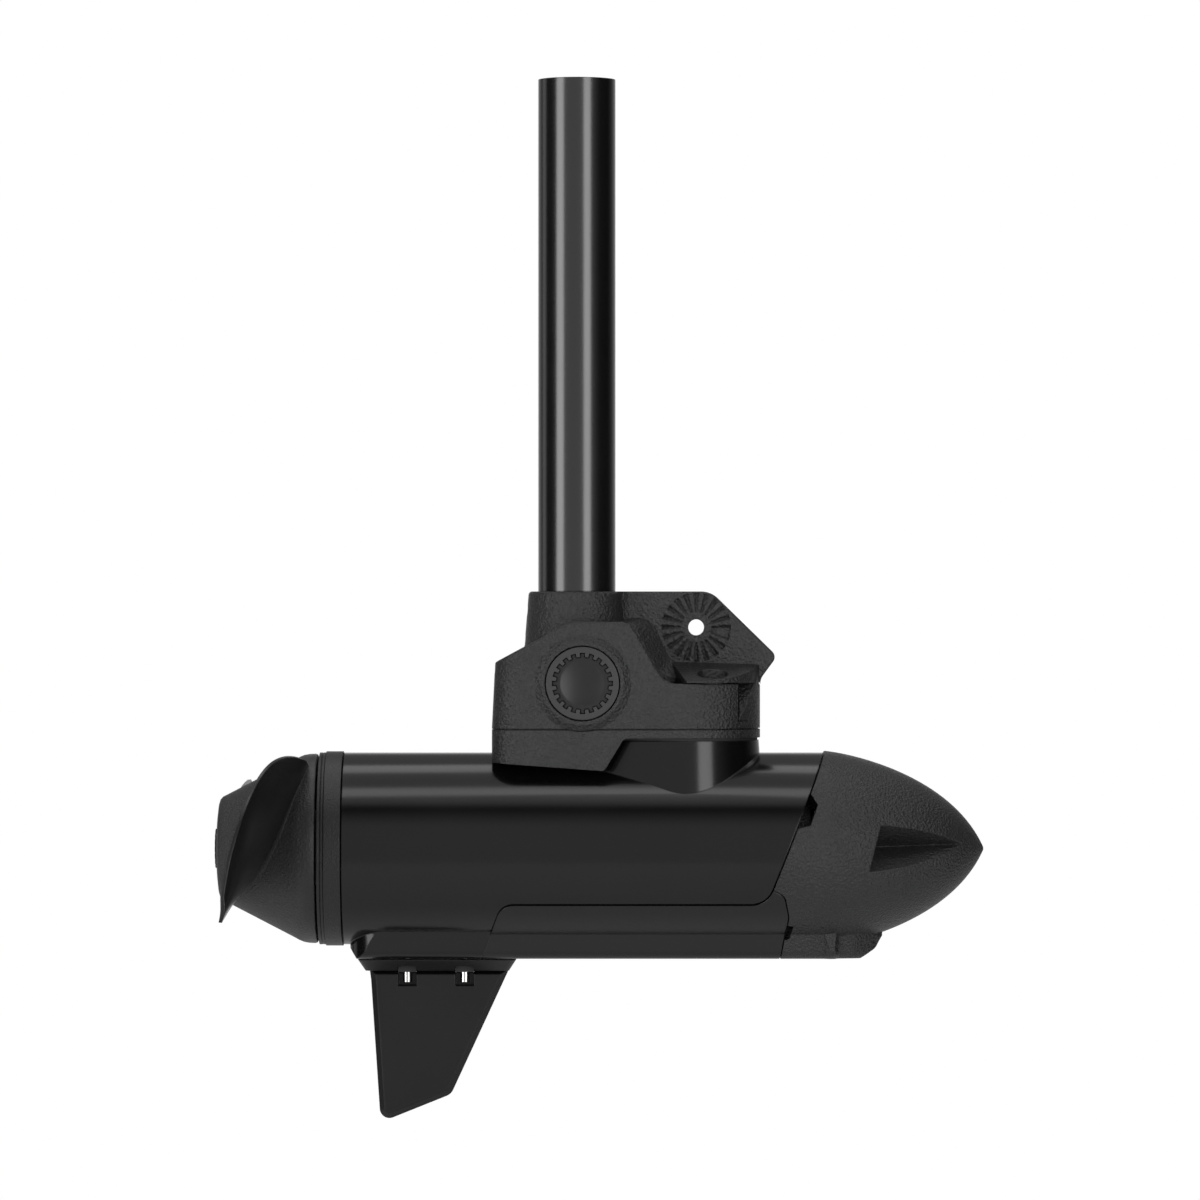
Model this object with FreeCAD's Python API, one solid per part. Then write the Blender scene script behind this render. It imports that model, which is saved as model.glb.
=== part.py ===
import FreeCAD, Part
import math
import os

# Lower unit of an electric trolling motor: shaft, tilting bracket, sealed pod, propeller and fin.
# Lengths are in millimetres. X runs forward to the nose, Z runs up the shaft and Y across.
# The origin is the centre of the shaft's top end.

# Heights, stacked down from the top of the shaft
SHAFT_EXPOSED = 209.7
PIVOT_DROP = 37.3
YOKE_DROP = 18.5
BASE_PLATE = 3.4
GASKET = 1.0
NECK_OVER_POD = 4.6

# Clearances
GAP = 0.3
FIT = 0.03
SEAM = 0.5

# Shaft and its socket
SHAFT_R = 15.875
SHAFT_WALL = 2.9
SHAFT_SEAT = 28.0
SEAT_STEP = 0.175
SOCKET_R = 19.7
SOCKET_FLARE = 0.079
SOCKET_SKIRT = 30.0
CABLE_R = 9.0
LOCK_SCREW_R = 2.5
LOCK_SCREW_DROP = 8.0
LOCK_SCREW_PITCH = 12.0
SOCKET_ROUND = 1.5
SOCKET_COVE_R = 9.0
SOCKET_COVE_DROP = 19.0

# Tilt pivot
PIVOT_X = 2.4
LUG_HALF = 20.7
LUG_R = 15.5
PIN_R = 5.0
PIN_HEAD_R = 9.5
PIN_HEAD = 2.5
BUSH_WALL = 1.5
PIN_INNER = 11.0

# Ear for the accessory
EAR_HALF = 5.5
EAR_HOLE_R = 3.3
EAR_HOLE_X = 48.9
EAR_HOLE_DROP = 14.7
EAR_END = 82.0
EAR_ROUND = 1.0
FLARE_HALF = 13.0
SERRATION_COUNT = 20
SERRATION_IN = 6.3
SERRATION_OUT = 14.1
SERRATION_DEPTH = 1.2
SERRATION_SHARE = 0.62

# Yoke, collar and their bolts
YOKE_HALF = 30.5
YOKE_BACK = -34.5
YOKE_FRONT = 75.1
YOKE_CORNER = 11.0
YOKE_DRAFT = 0.05
YOKE_RISE = 25.0
YOKE_WALL = 4.5
YOKE_ROUND = 1.2
RIM_DEPTH = 0.2
CAVITY_FRONT = 42.0
BOSS_R = 19.7
BOSS_TOP_R = 16.7
BOSS_RISE = 1.8
CHEEK_FLOOR = 25.0
RING_R = 14.8
RING_ROOM = 0.5
SPLINE_IN = 10.7
SPLINE_OUT = 12.4
SPLINE_COUNT = 20
RING_PROUD = 0.3
KNOB_DOME = 1.2
BOLT_X = 55.3
BOLT_Y = 20.0
BOLT_R = 2.5
BOLT_HEAD_R = 4.25
BOLT_HEAD = 5.0
BOLT_GRIP = 12.0
NOTCH_R = 6.2
TONGUE_X = 66.0
TONGUE_LOW = 15.3
TONGUE_RISE = 7.5
TONGUE_HALF = 22.5
TONGUE_THICK = 5.0
COLLAR_WALL = 3.0
COLLAR_BACK_DROP = 12.7
COLLAR_FRONT_DROP = 17.1
COLLAR_STEP_X = 11.2
COLLAR_RAMP = 8.0
COLLAR_LIFT = 1.2
BASE_SCREW_X = -22.0
BASE_SCREW_Y = 24.0
BASE_SCREW_R = 1.5
BASE_SCREW_HEAD_R = 2.75
BASE_SCREW_LENGTH = 14.0

# Neck of the pod
NECK_FRONT_X = 44.4
NECK_FRONT_R = 30.2
NECK_REAR_X = -11.0
NECK_REAR_R = 15.5
NECK_FLARE = 1.6
GASKET_INSET = 2.0

# Pod
POD_R = 40.0
POD_WALL = 6.0
POD_REAR = -95.1
HOUSING_STEP = 0.7
OGIVE_START = 100.7
NOSE_TIP = 166.6
NOSE_FULL = 6.0
NOSE_SLOPE_BACK = 14.0
NOSE_SLOPE_RISE = 32.1
NOSE_TIP_R = 0.6
SPLIT_X = 85.6
SPLIT_SLOPE = 0.391
KEEL_HALF = 18.0
KEEL_TOP_HALF = 23.0
KEEL_HEIGHT = 19.5
KEEL_DEPTH = 4.5
KEEL_CREASE = 5.7
KEEL_REAR = -89.6
KEEL_REAR_ROUND = 14.0
KEEL_FRONT = 115.7
KEEL_TIP = 125.0
KEEL_CORNER = 5.0
TRAY_TOP = 22.0
TRAY_REAR = -30.5
TRAY_SKIN = 2.8
TRAY_LIP_X = 85.4
SPIGOT = 16.0
SPIGOT_WALL = 3.0
NOTCH_ROOM_REAR = 79.0
NOTCH_ROOM_FRONT = 94.0
NOTCH_ROOM_R = 36.5
NOTCH_FLOOR_R = 30.0
SCOOP_X = 121.6
SCOOP_END = 156.5
SCOOP_DEPTH = 14.0
ORING_R = 1.0

# Rear end
BELL_LENGTH = 7.4
BELL_STEP = 0.2
TRIM_LENGTH = 2.7
TRIM_STEP = 0.7
TRIM_WIDTH = 9.3
SEAL_BOSS_R = 15.0
SEAL_BOSS = 11.0
SEAL_R = 11.0
SEAL_LENGTH = 5.0

# Motor
SHAFT6_R = 6.0
BEARING_R = 14.0
BEARING_WIDTH = 9.0
STATOR_REAR = -72.0
STATOR_LENGTH = 84.0
STATOR_SLOTS = 12
STATOR_DEPTH = 12.0
STATOR_YOKE = 5.0
TOOTH_WIDTH = 5.0
AIR_GAP = 0.8
MAGNET_COUNT = 10
MAGNET_THICK = 3.0
PLATE_X = 26.0
PLATE_THICK = 12.0
BOARD_ROOM = 6.0
BOARD_THICK = 1.6
BOARD_STANDOFF = 16.0
BOARD_POST_R = 2.5
BOARD_POST_INSET = 5.0

# Propeller
HUB_GAP = 0.6
HUB_STEP = 1.2
HUB_REAR_R = 20.7
HUB_REAR = -146.2
HUB_CROWN = 1.2
HUB_BAND = 5.0
HUB_ROUND = 6.0
HUB_WALL = 3.0
HUB_BOSS_R = 12.0
HUB_RIBS = 6
HUB_RIB = 2.4
PROP_R = 104.0
BLADE_THICK = 6.0
BLADE_TIP_THICK = 1.8
BLADE_EDGE = 1.2
DRIVE_PIN_R = 2.0
DRIVE_PIN_HALF = 9.5
DRIVE_PIN_X = -120.0
NUT_R = 8.0
NUT_LENGTH = 6.0
NUT_TEETH = 16
WASHER_THICK = 1.2

# Fin
FIN_REAR = -84.3
FIN_DROP = 66.4
FIN_THICK = 6.0
FIN_EDGE = 1.6
FIN_BEVEL = 2.2
FLANGE = 4.8
FLANGE_HALF = 13.0
FLANGE_REAR = -89.4
FLANGE_FRONT = -24.7
FLANGE_TAPER = 3.0
STUD_R = 1.85
STUD_LENGTH = 17.0
STUD_REAR = -69.4
STUD_PITCH = 23.5
POCKET_WIDTH = 7.6
POCKET_DROP = 10.2
BAR_NUT = 2.8
BAR_NUT_DEPTH = 4.4

# Places worked out from the sizes above
BRACKET_TOP = -SHAFT_EXPOSED
PIVOT_Z = BRACKET_TOP - PIVOT_DROP
YOKE_BOTTOM = PIVOT_Z - YOKE_DROP
BASE_TOP = YOKE_BOTTOM - SEAM
BASE_BOTTOM = BASE_TOP - BASE_PLATE
NECK_TOP = BASE_BOTTOM - GASKET
AXIS_Z = NECK_TOP - NECK_OVER_POD - POD_R
YOKE_TOP = PIVOT_Z + YOKE_RISE
RIM_Z = PIVOT_Z - RIM_DEPTH
SKIRT_Z = RIM_Z + GAP
TONGUE_Z = PIVOT_Z - TONGUE_LOW
SHAFT_END = BRACKET_TOP - SHAFT_SEAT
EAR_HOLE_Z = BRACKET_TOP - EAR_HOLE_DROP
CHEEK_IN = LUG_HALF + GAP
BOSS_FACE = YOKE_HALF + BOSS_RISE
SEAT_R = SHAFT_R - SEAT_STEP
BORE_R = POD_R - POD_WALL
TUBE_R = POD_R - TRAY_SKIN
BELL_R = POD_R - BELL_STEP
TRIM_R = POD_R - TRIM_STEP
TRIM_IN = TRIM_R - TRIM_WIDTH
HUB_FRONT_R = POD_R - HUB_STEP
KEEL_DROP = POD_R + KEEL_DEPTH
KEEL_Z = AXIS_Z - KEEL_DROP
BELL_REAR = POD_REAR - BELL_LENGTH
TRIM_REAR = BELL_REAR - TRIM_LENGTH
HUB_FRONT = TRIM_REAR - HUB_GAP
STATOR_FRONT = STATOR_REAR + STATOR_LENGTH
PLATE_FRONT = PLATE_X + PLATE_THICK
BOARD_X = PLATE_FRONT + BOARD_STANDOFF
BOARD_R = BORE_R - BOARD_ROOM
BOARD_POST_CIRCLE = BOARD_R - BOARD_POST_INSET
STATOR_BORE = BORE_R - STATOR_DEPTH
ROTOR_R = STATOR_BORE - AIR_GAP
ROTOR_CORE_R = ROTOR_R - MAGNET_THICK
BIG = 300.0


def vec(x, y, z):
    return FreeCAD.Vector(x, y, z)


def rod_x(radius, x0, x1, y=0.0, z=AXIS_Z):
    return Part.makeCylinder(radius, x1 - x0, vec(x0, y, z), vec(1, 0, 0))


def rod_y(radius, y0, y1, x, z):
    return Part.makeCylinder(radius, y1 - y0, vec(x, y0, z), vec(0, 1, 0))


def rod_z(radius, z0, z1, x=0.0, y=0.0):
    return Part.makeCylinder(radius, z1 - z0, vec(x, y, z0), vec(0, 0, 1))


def block(x0, x1, y0, y1, z0, z1):
    return Part.makeBox(x1 - x0, y1 - y0, z1 - z0, vec(x0, y0, z0))


def ring_x(outer, inner, x0, x1):
    return rod_x(outer, x0, x1).cut(rod_x(inner, x0 - 1, x1 + 1))


def far_side(shape):
    return shape.mirror(vec(0, 0, 0), vec(0, 1, 0))


def both_sides(shape):
    return shape.fuse(far_side(shape))


def joined(shapes):
    whole = shapes[0]
    for shape in shapes[1:]:
        whole = whole.fuse(shape)
    return whole.removeSplitter()


def side_at(y):
    return lambda a, b: vec(a, y, b)


def cross_at(x):
    return lambda a, b: vec(x, a, b)


def plan_at(z):
    return lambda a, b: vec(a, b, z)


def unit(a, b):
    length = math.hypot(a, b)
    return a / length, b / length


def rounded_wire(corners, place):
    """Closed outline through (a, b, radius) corners, each corner rounded by its own arc."""
    marks = []
    count = len(corners)
    for i in range(count):
        a, b, radius = corners[i]
        back = unit(corners[i - 1][0] - a, corners[i - 1][1] - b)
        ahead = unit(corners[(i + 1) % count][0] - a, corners[(i + 1) % count][1] - b)
        if radius <= 0:
            marks.append(((a, b), None, (a, b)))
            continue
        half = math.acos(max(-1.0, min(1.0, back[0] * ahead[0] + back[1] * ahead[1]))) / 2
        run = radius / math.tan(half)
        mid = unit(back[0] + ahead[0], back[1] + ahead[1])
        reach = radius / math.sin(half) - radius
        start = (a + back[0] * run, b + back[1] * run)
        end = (a + ahead[0] * run, b + ahead[1] * run)
        marks.append((start, (a + mid[0] * reach, b + mid[1] * reach), end))
    edges = []
    for i in range(count):
        start, mid, end = marks[i]
        if mid is not None:
            edges.append(Part.Arc(place(*start), place(*mid), place(*end)).toShape())
        following = marks[(i + 1) % count][0]
        if math.hypot(following[0] - end[0], following[1] - end[1]) > 1e-6:
            edges.append(Part.LineSegment(place(*end), place(*following)).toShape())
    return Part.Wire(edges)


def side_prism(corners, y0, y1):
    return Part.Face(rounded_wire(corners, side_at(y0))).extrude(vec(0, y1 - y0, 0))


def cross_prism(corners, x0, x1):
    return Part.Face(rounded_wire(corners, cross_at(x0))).extrude(vec(x1 - x0, 0, 0))


def plan_prism(corners, z0, z1):
    return Part.Face(rounded_wire(corners, plan_at(z0))).extrude(vec(0, 0, z1 - z0))


def turned_x(profile):
    """Solid of revolution about the pod's axis from (x, radius, corner) points."""
    wire = rounded_wire(profile, lambda a, b: vec(a, 0, AXIS_Z + b))
    return Part.Face(wire).revolve(vec(0, 0, AXIS_Z), vec(1, 0, 0), 360)


def bullet(back, front, half, corner):
    """Plan outline with a round front end and rounded back corners."""
    return [(back, -half, corner), (front, -half, half), (front, half, half), (back, half, corner)]


def ring_of(shape, count, axis_point, axis):
    copies = []
    for i in range(count):
        copy = shape.copy()
        copy.rotate(axis_point, axis, 360.0 * i / count)
        copies.append(copy)
    return copies


# Shaft, socket bracket and ear


def shaft_tube():
    """Straight tube whose lower end is turned down a little where it sits in the bracket."""
    outer = rod_z(SHAFT_R, BRACKET_TOP, 0).fuse(rod_z(SEAT_R, SHAFT_END, BRACKET_TOP + 1))
    body = outer.removeSplitter().cut(rod_z(SHAFT_R - SHAFT_WALL, SHAFT_END - 1, 1))
    return body.cut(lock_screw_holes())


def lock_screw_heights():
    return [BRACKET_TOP - LOCK_SCREW_DROP - LOCK_SCREW_PITCH * i for i in range(2)]


def lock_screw_holes():
    return [rod_x(LOCK_SCREW_R + FIT, -SOCKET_R * 2, -SHAFT_R / 2, 0, z) for z in lock_screw_heights()]


def shaft_lock_screws():
    """Two set screws through the back of the socket into the shaft's wall."""
    screws = []
    for z in lock_screw_heights():
        outside = -SOCKET_R - SOCKET_FLARE * (BRACKET_TOP - z) + 0.4
        screw = rod_x(LOCK_SCREW_R, outside, -SHAFT_R + SHAFT_WALL, 0, z)
        screws.append(screw.cut(rod_x(LOCK_SCREW_R * 0.5, outside - 1, outside + 2, 0, z)))
    return Part.makeCompound(screws)


def plan_envelope(grow, z0, z1):
    corners = bullet(YOKE_BACK - grow, YOKE_FRONT + grow, YOKE_HALF + grow, YOKE_CORNER)
    return plan_prism(corners, z0, z1)


def ear_plate():
    top = BRACKET_TOP
    corners = [
        (0, top, 0),
        (EAR_HOLE_X + 6.0, top, 9.8),
        (EAR_END, top - 26.5, 3.2),
        (YOKE_FRONT, top - 35.9, 6.0),
        (YOKE_FRONT, SKIRT_Z, 0),
        (0, SKIRT_Z, 0),
    ]
    plate = side_prism(corners, -EAR_HALF, EAR_HALF)
    rims = []
    for edge in plate.Edges:
        ends = [vertex.Point for vertex in edge.Vertexes]
        flat = all(abs(abs(end.y) - EAR_HALF) < 0.01 for end in ends) and ends[0].y * ends[-1].y > 0
        if flat and max(end.x for end in ends) > 1 and max(end.z for end in ends) > SKIRT_Z + 1:
            rims.append(edge)
    return plate.makeFillet(EAR_ROUND, rims)


def bracket_core():
    """Wide middle of the bracket, drawn in towards the thin ear plate by a sloping flare."""
    top = PIVOT_Z + 26.6
    wide = [
        (-2.0, SKIRT_Z, 0),
        (-2.0, YOKE_TOP - 1.0, 0),
        (23.0, YOKE_TOP - 1.0, 6.0),
        (33.5, PIVOT_Z + 4.0, 4.0),
        (40.0, PIVOT_Z + 2.0, 0),
        (40.0, SKIRT_Z, 0),
    ]
    thin = [
        (-2.0, SKIRT_Z, 0),
        (-2.0, top, 0),
        (30.5, top, 8.0),
        (38.6, PIVOT_Z + 8.8, 5.0),
        (46.0, PIVOT_Z + 8.5, 0),
        (46.0, SKIRT_Z, 0),
    ]
    wires = [rounded_wire(wide, side_at(-FLARE_HALF)), rounded_wire(thin, side_at(-EAR_HALF))]
    flare = Part.makeLoft(wires, True, True)
    middle = side_prism(thin, -EAR_HALF, EAR_HALF)
    return joined([flare, middle, far_side(flare)])


def bracket_skirt():
    """Sloping roof over the front of the yoke, with a round tool notch over each bolt."""
    high = PIVOT_Z + 8.7
    inner = [(38.6, SKIRT_Z, 0), (38.6, high, 0), (77.4, high - 1.2, 0), (YOKE_FRONT, SKIRT_Z, 0)]
    outer = [(44.5, SKIRT_Z, 0), (44.5, SKIRT_Z + 0.7, 0), (77.4, SKIRT_Z + 0.7, 0), (77.4, SKIRT_Z, 0)]
    wires = [
        rounded_wire(outer, side_at(-YOKE_HALF + 1.0)),
        rounded_wire(inner, side_at(-EAR_HALF + 0.2)),
    ]
    slope = Part.makeLoft(wires, True, True)
    roof = both_sides(slope).common(plan_envelope(-0.2, SKIRT_Z - 1, BRACKET_TOP))
    for y in (-BOLT_Y, BOLT_Y):
        roof = roof.cut(rod_z(NOTCH_R, SKIRT_Z - 1, BRACKET_TOP, BOLT_X, y))
    return roof


def tongue_inner(z):
    """Half width of the tongue's inner slope at a height."""
    steep = (TONGUE_HALF - EAR_HALF) / (TONGUE_LOW + TONGUE_RISE)
    return TONGUE_HALF - TONGUE_THICK - steep * (z - TONGUE_Z)


def bracket_tongue():
    """Steep end of the skirt that wraps down over the yoke's front."""
    top = PIVOT_Z + TONGUE_RISE
    corners = [
        (EAR_HALF, top, 0),
        (TONGUE_HALF, TONGUE_Z, 0),
        (tongue_inner(TONGUE_Z), TONGUE_Z, 0),
        (tongue_inner(SKIRT_Z), SKIRT_Z, 0),
        (0, SKIRT_Z, 0),
        (0, top, 0),
    ]
    wedge = both_sides(cross_prism(corners, TONGUE_X, YOKE_FRONT + 1))
    return wedge.common(plan_envelope(0, TONGUE_Z - 1, BRACKET_TOP))


def serration_groove(share, depth):
    """One groove that widens and deepens outwards, as a loft between two triangles on the near face."""
    lift = 0.4
    wires = []
    for radius in (SERRATION_IN, SERRATION_OUT):
        deep = depth * radius / SERRATION_OUT
        half = radius * math.pi / SERRATION_COUNT * share * (deep + lift) / deep
        x = EAR_HOLE_X + radius
        points = [
            vec(x, -EAR_HALF - lift, EAR_HOLE_Z - half),
            vec(x, -EAR_HALF - lift, EAR_HOLE_Z + half),
            vec(x, -EAR_HALF + deep, EAR_HOLE_Z),
        ]
        wires.append(Part.makePolygon(points + [points[0]]))
    return Part.makeLoft(wires, True, True)


def serration_cuts():
    """Radial grooves round the ear's hole, on both faces, with one wide index notch."""
    centre = vec(EAR_HOLE_X, 0, EAR_HOLE_Z)
    grooves = ring_of(serration_groove(SERRATION_SHARE, SERRATION_DEPTH), SERRATION_COUNT, centre, vec(0, 1, 0))
    turn = 2 * math.pi / SERRATION_COUNT
    corners = []
    for radius, angle in ((SERRATION_IN, 0), (SERRATION_OUT, 0), (SERRATION_OUT, -turn), (SERRATION_IN, -turn)):
        corners.append((EAR_HOLE_X + radius * math.cos(angle), EAR_HOLE_Z + radius * math.sin(angle), 0))
    grooves.append(side_prism(corners, -EAR_HALF - 1, -EAR_HALF + SERRATION_DEPTH))
    return grooves + [far_side(groove) for groove in grooves]


def socket_cove():
    """Hollow rounds in plan that lead from the round socket to the ear's flat faces."""
    reach = SOCKET_R + SOCKET_COVE_R
    y = EAR_HALF + SOCKET_COVE_R
    x = math.sqrt(reach * reach - y * y)
    share = SOCKET_R / reach
    z = BRACKET_TOP - SOCKET_COVE_DROP
    start = plan_at(z)(x * share, -y * share)
    end = plan_at(z)(x, -EAR_HALF)
    lean = unit(start.x - x + end.x - x, start.y + y + end.y + y)
    middle = vec(x + lean[0] * SOCKET_COVE_R, -y + lean[1] * SOCKET_COVE_R, z)
    edges = [
        Part.Arc(start, middle, end).toShape(),
        Part.LineSegment(end, vec(x, 0, z)).toShape(),
        Part.LineSegment(vec(x, 0, z), vec(start.x * 0.5, 0, z)).toShape(),
        Part.LineSegment(vec(start.x * 0.5, 0, z), start).toShape(),
    ]
    cove = Part.Face(Part.Wire(edges)).extrude(vec(0, 0, SOCKET_COVE_DROP))
    return both_sides(cove)


def shaft_bracket():
    foot = BRACKET_TOP - SOCKET_SKIRT
    foot_r = SOCKET_R + SOCKET_FLARE * SOCKET_SKIRT
    socket = Part.makeCone(foot_r, SOCKET_R, SOCKET_SKIRT, vec(0, 0, foot), vec(0, 0, 1))
    rim = [edge for edge in socket.Edges if edge.BoundBox.ZMin > BRACKET_TOP - 0.01]
    socket = socket.makeFillet(SOCKET_ROUND, rim)
    lug = rod_y(LUG_R, -LUG_HALF, LUG_HALF, PIVOT_X, PIVOT_Z)
    web = block(PIVOT_X - LUG_R, PIVOT_X + LUG_R, -LUG_HALF, LUG_HALF, PIVOT_Z, foot + 2)
    slab = block(-BIG, BIG, -LUG_HALF, LUG_HALF, PIVOT_Z - BIG, BIG)
    body = joined([socket.common(slab), lug, web, bracket_core(), socket_cove(), ear_plate()])
    body = joined([body, bracket_skirt(), bracket_tongue()])
    body = body.cut(rod_z(SEAT_R + FIT, SHAFT_END, 1))
    body = body.cut(rod_z(CABLE_R, PIVOT_Z - BIG, SHAFT_END + 1))
    body = body.cut(rod_y(EAR_HOLE_R, -BIG, BIG, EAR_HOLE_X, EAR_HOLE_Z))
    body = body.cut(lock_screw_holes())
    for y0, y1 in ((-LUG_HALF - 1, -PIN_INNER), (PIN_INNER, LUG_HALF + 1)):
        body = body.cut(rod_y(PIN_R + BUSH_WALL + FIT, y0, y1, PIVOT_X, PIVOT_Z))
    return body.cut(serration_cuts())


def pivot_bushes():
    near = rod_y(PIN_R + BUSH_WALL, -LUG_HALF, -PIN_INNER, PIVOT_X, PIVOT_Z)
    near = near.cut(rod_y(PIN_R + FIT, -BIG, 0, PIVOT_X, PIVOT_Z))
    return Part.makeCompound([near, far_side(near)])


# Yoke, its pins and caps


def yoke_side_outline():
    return [
        (YOKE_BACK - 2, YOKE_BOTTOM - 1, 0),
        (YOKE_BACK - 2, PIVOT_Z + 6.6, 0),
        (-2.4, YOKE_TOP, 14.0),
        (21.6, YOKE_TOP, 7.0),
        (36.0, RIM_Z, 9.0),
        (YOKE_FRONT + 2, RIM_Z, 0),
        (YOKE_FRONT + 2, YOKE_BOTTOM - 1, 0),
    ]


def yoke_blank():
    lean = YOKE_DRAFT * (YOKE_TOP - YOKE_BOTTOM)
    low = bullet(YOKE_BACK, YOKE_FRONT, YOKE_HALF, YOKE_CORNER)
    high = bullet(YOKE_BACK + lean, YOKE_FRONT, YOKE_HALF, YOKE_CORNER)
    wires = [rounded_wire(low, plan_at(YOKE_BOTTOM)), rounded_wire(high, plan_at(YOKE_TOP + 1))]
    blank = Part.makeLoft(wires, True, True)
    blank = blank.common(side_prism(yoke_side_outline(), -BIG, BIG))
    rims = []
    for edge in blank.Edges:
        box = edge.BoundBox
        if abs(box.YMin) > YOKE_HALF - 3 and box.YMin * box.YMax > 0 and box.ZMin > RIM_Z - 0.1 and box.XLength > 0.5:
            rims.append(edge)
    return blank.makeFillet(YOKE_ROUND, rims)


def tongue_room():
    low = TONGUE_Z - GAP
    high = SKIRT_Z + 1
    shift = GAP * 1.3
    corners = [
        (tongue_inner(high) - shift, high, 0),
        (tongue_inner(low) - shift, low, 0),
        (YOKE_HALF + 2, low, 0),
        (YOKE_HALF + 2, high, 0),
    ]
    return both_sides(cross_prism(corners, TONGUE_X - GAP, YOKE_FRONT + 2))


def tilt_yoke():
    body = yoke_blank()
    boss = Part.makeCone(BOSS_R, BOSS_TOP_R, BOSS_RISE, vec(PIVOT_X, -YOKE_HALF, PIVOT_Z), vec(0, -1, 0))
    body = joined([body, boss, far_side(boss)])
    cavity = block(YOKE_BACK + YOKE_WALL, CAVITY_FRONT, -CHEEK_IN, CHEEK_IN, YOKE_BOTTOM - 1, BRACKET_TOP)
    body = body.cut(cavity).cut(tongue_room())
    back_notch = block(YOKE_BACK - 5, CAVITY_FRONT, -CHEEK_IN, CHEEK_IN, PIVOT_Z + 4.0, BRACKET_TOP)
    body = body.cut(back_notch)
    bore = rod_y(RING_R + RING_ROOM, -BIG, -CHEEK_FLOOR, PIVOT_X, PIVOT_Z)
    body = body.cut(both_sides(bore)).cut(rod_y(PIN_R + FIT, -BIG, BIG, PIVOT_X, PIVOT_Z))
    for y in (-BOLT_Y, BOLT_Y):
        body = body.cut(rod_z(BOLT_R + FIT, YOKE_BOTTOM - 1, RIM_Z, BOLT_X, y))
        body = body.cut(rod_z(BOLT_HEAD_R + GAP, RIM_Z - BOLT_HEAD, RIM_Z + 1, BOLT_X, y))
    for y in (-BASE_SCREW_Y, BASE_SCREW_Y):
        top = BASE_BOTTOM + BASE_SCREW_LENGTH + 1
        body = body.cut(rod_z(BASE_SCREW_R + FIT, YOKE_BOTTOM - 1, top, BASE_SCREW_X, y))
    return body


def pivot_pins():
    shank = rod_y(PIN_R, -CHEEK_FLOOR - PIN_HEAD, -PIN_INNER - 0.5, PIVOT_X, PIVOT_Z)
    head = rod_y(PIN_HEAD_R, -CHEEK_FLOOR - PIN_HEAD, -CHEEK_FLOOR, PIVOT_X, PIVOT_Z)
    near = shank.fuse(head).removeSplitter()
    return Part.makeCompound([near, far_side(near)])


def spline_teeth(inner, outer, share, y0, y1):
    """One ring of flat teeth round the pivot, between two radii."""
    half = math.pi / SPLINE_COUNT * share
    corners = []
    for radius, angle in ((inner, -half), (outer, -half), (outer, half), (inner, half)):
        corners.append((PIVOT_X + radius * math.cos(angle), PIVOT_Z + radius * math.sin(angle), 0))
    tooth = side_prism(corners, y0, y1)
    return ring_of(tooth, SPLINE_COUNT, vec(PIVOT_X, 0, PIVOT_Z), vec(0, 1, 0))


def pivot_lock_rings():
    y0 = -BOSS_FACE - RING_PROUD
    ring = rod_y(RING_R, y0, -CHEEK_FLOOR, PIVOT_X, PIVOT_Z)
    ring = ring.cut(rod_y(SPLINE_IN, y0 - 1, 0, PIVOT_X, PIVOT_Z))
    notch_floor = -CHEEK_FLOOR - PIN_HEAD + 0.2
    ring = ring.cut(spline_teeth(SPLINE_IN - 1, SPLINE_OUT, 0.56, y0 - 1, notch_floor))
    return Part.makeCompound([ring, far_side(ring)])


def pivot_caps():
    """Splined cap with a shallow domed face, one on each side."""
    seat = -CHEEK_FLOOR - PIN_HEAD
    face = -BOSS_FACE + 0.6
    disc = rod_y(SPLINE_IN - GAP / 2, face, seat, PIVOT_X, PIVOT_Z)
    teeth = spline_teeth(SPLINE_IN - 2, SPLINE_OUT - GAP / 2, 0.46, face, seat)
    disc = disc.fuse(teeth).removeSplitter()
    reach = SPLINE_IN - 1.6
    ball_r = (reach * reach + KNOB_DOME * KNOB_DOME) / (2 * KNOB_DOME)
    dish = Part.makeSphere(ball_r, vec(PIVOT_X, face - ball_r + KNOB_DOME, PIVOT_Z))
    disc = disc.cut(dish)
    return Part.makeCompound([disc, far_side(disc)])


def yoke_bolts():
    bolts = []
    for y in (-BOLT_Y, BOLT_Y):
        head = rod_z(BOLT_HEAD_R, RIM_Z - BOLT_HEAD, RIM_Z, BOLT_X, y)
        shank = rod_z(BOLT_R, NECK_TOP - BOLT_GRIP, RIM_Z - BOLT_HEAD, BOLT_X, y)
        bolt = head.fuse(shank).removeSplitter()
        socket = [(BOLT_X + 2.3 * math.cos(math.pi / 3 * i), y + 2.3 * math.sin(math.pi / 3 * i), 0) for i in range(6)]
        bolts.append(bolt.cut(plan_prism(socket, RIM_Z - 2.5, RIM_Z + 1)))
    return Part.makeCompound(bolts)


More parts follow.
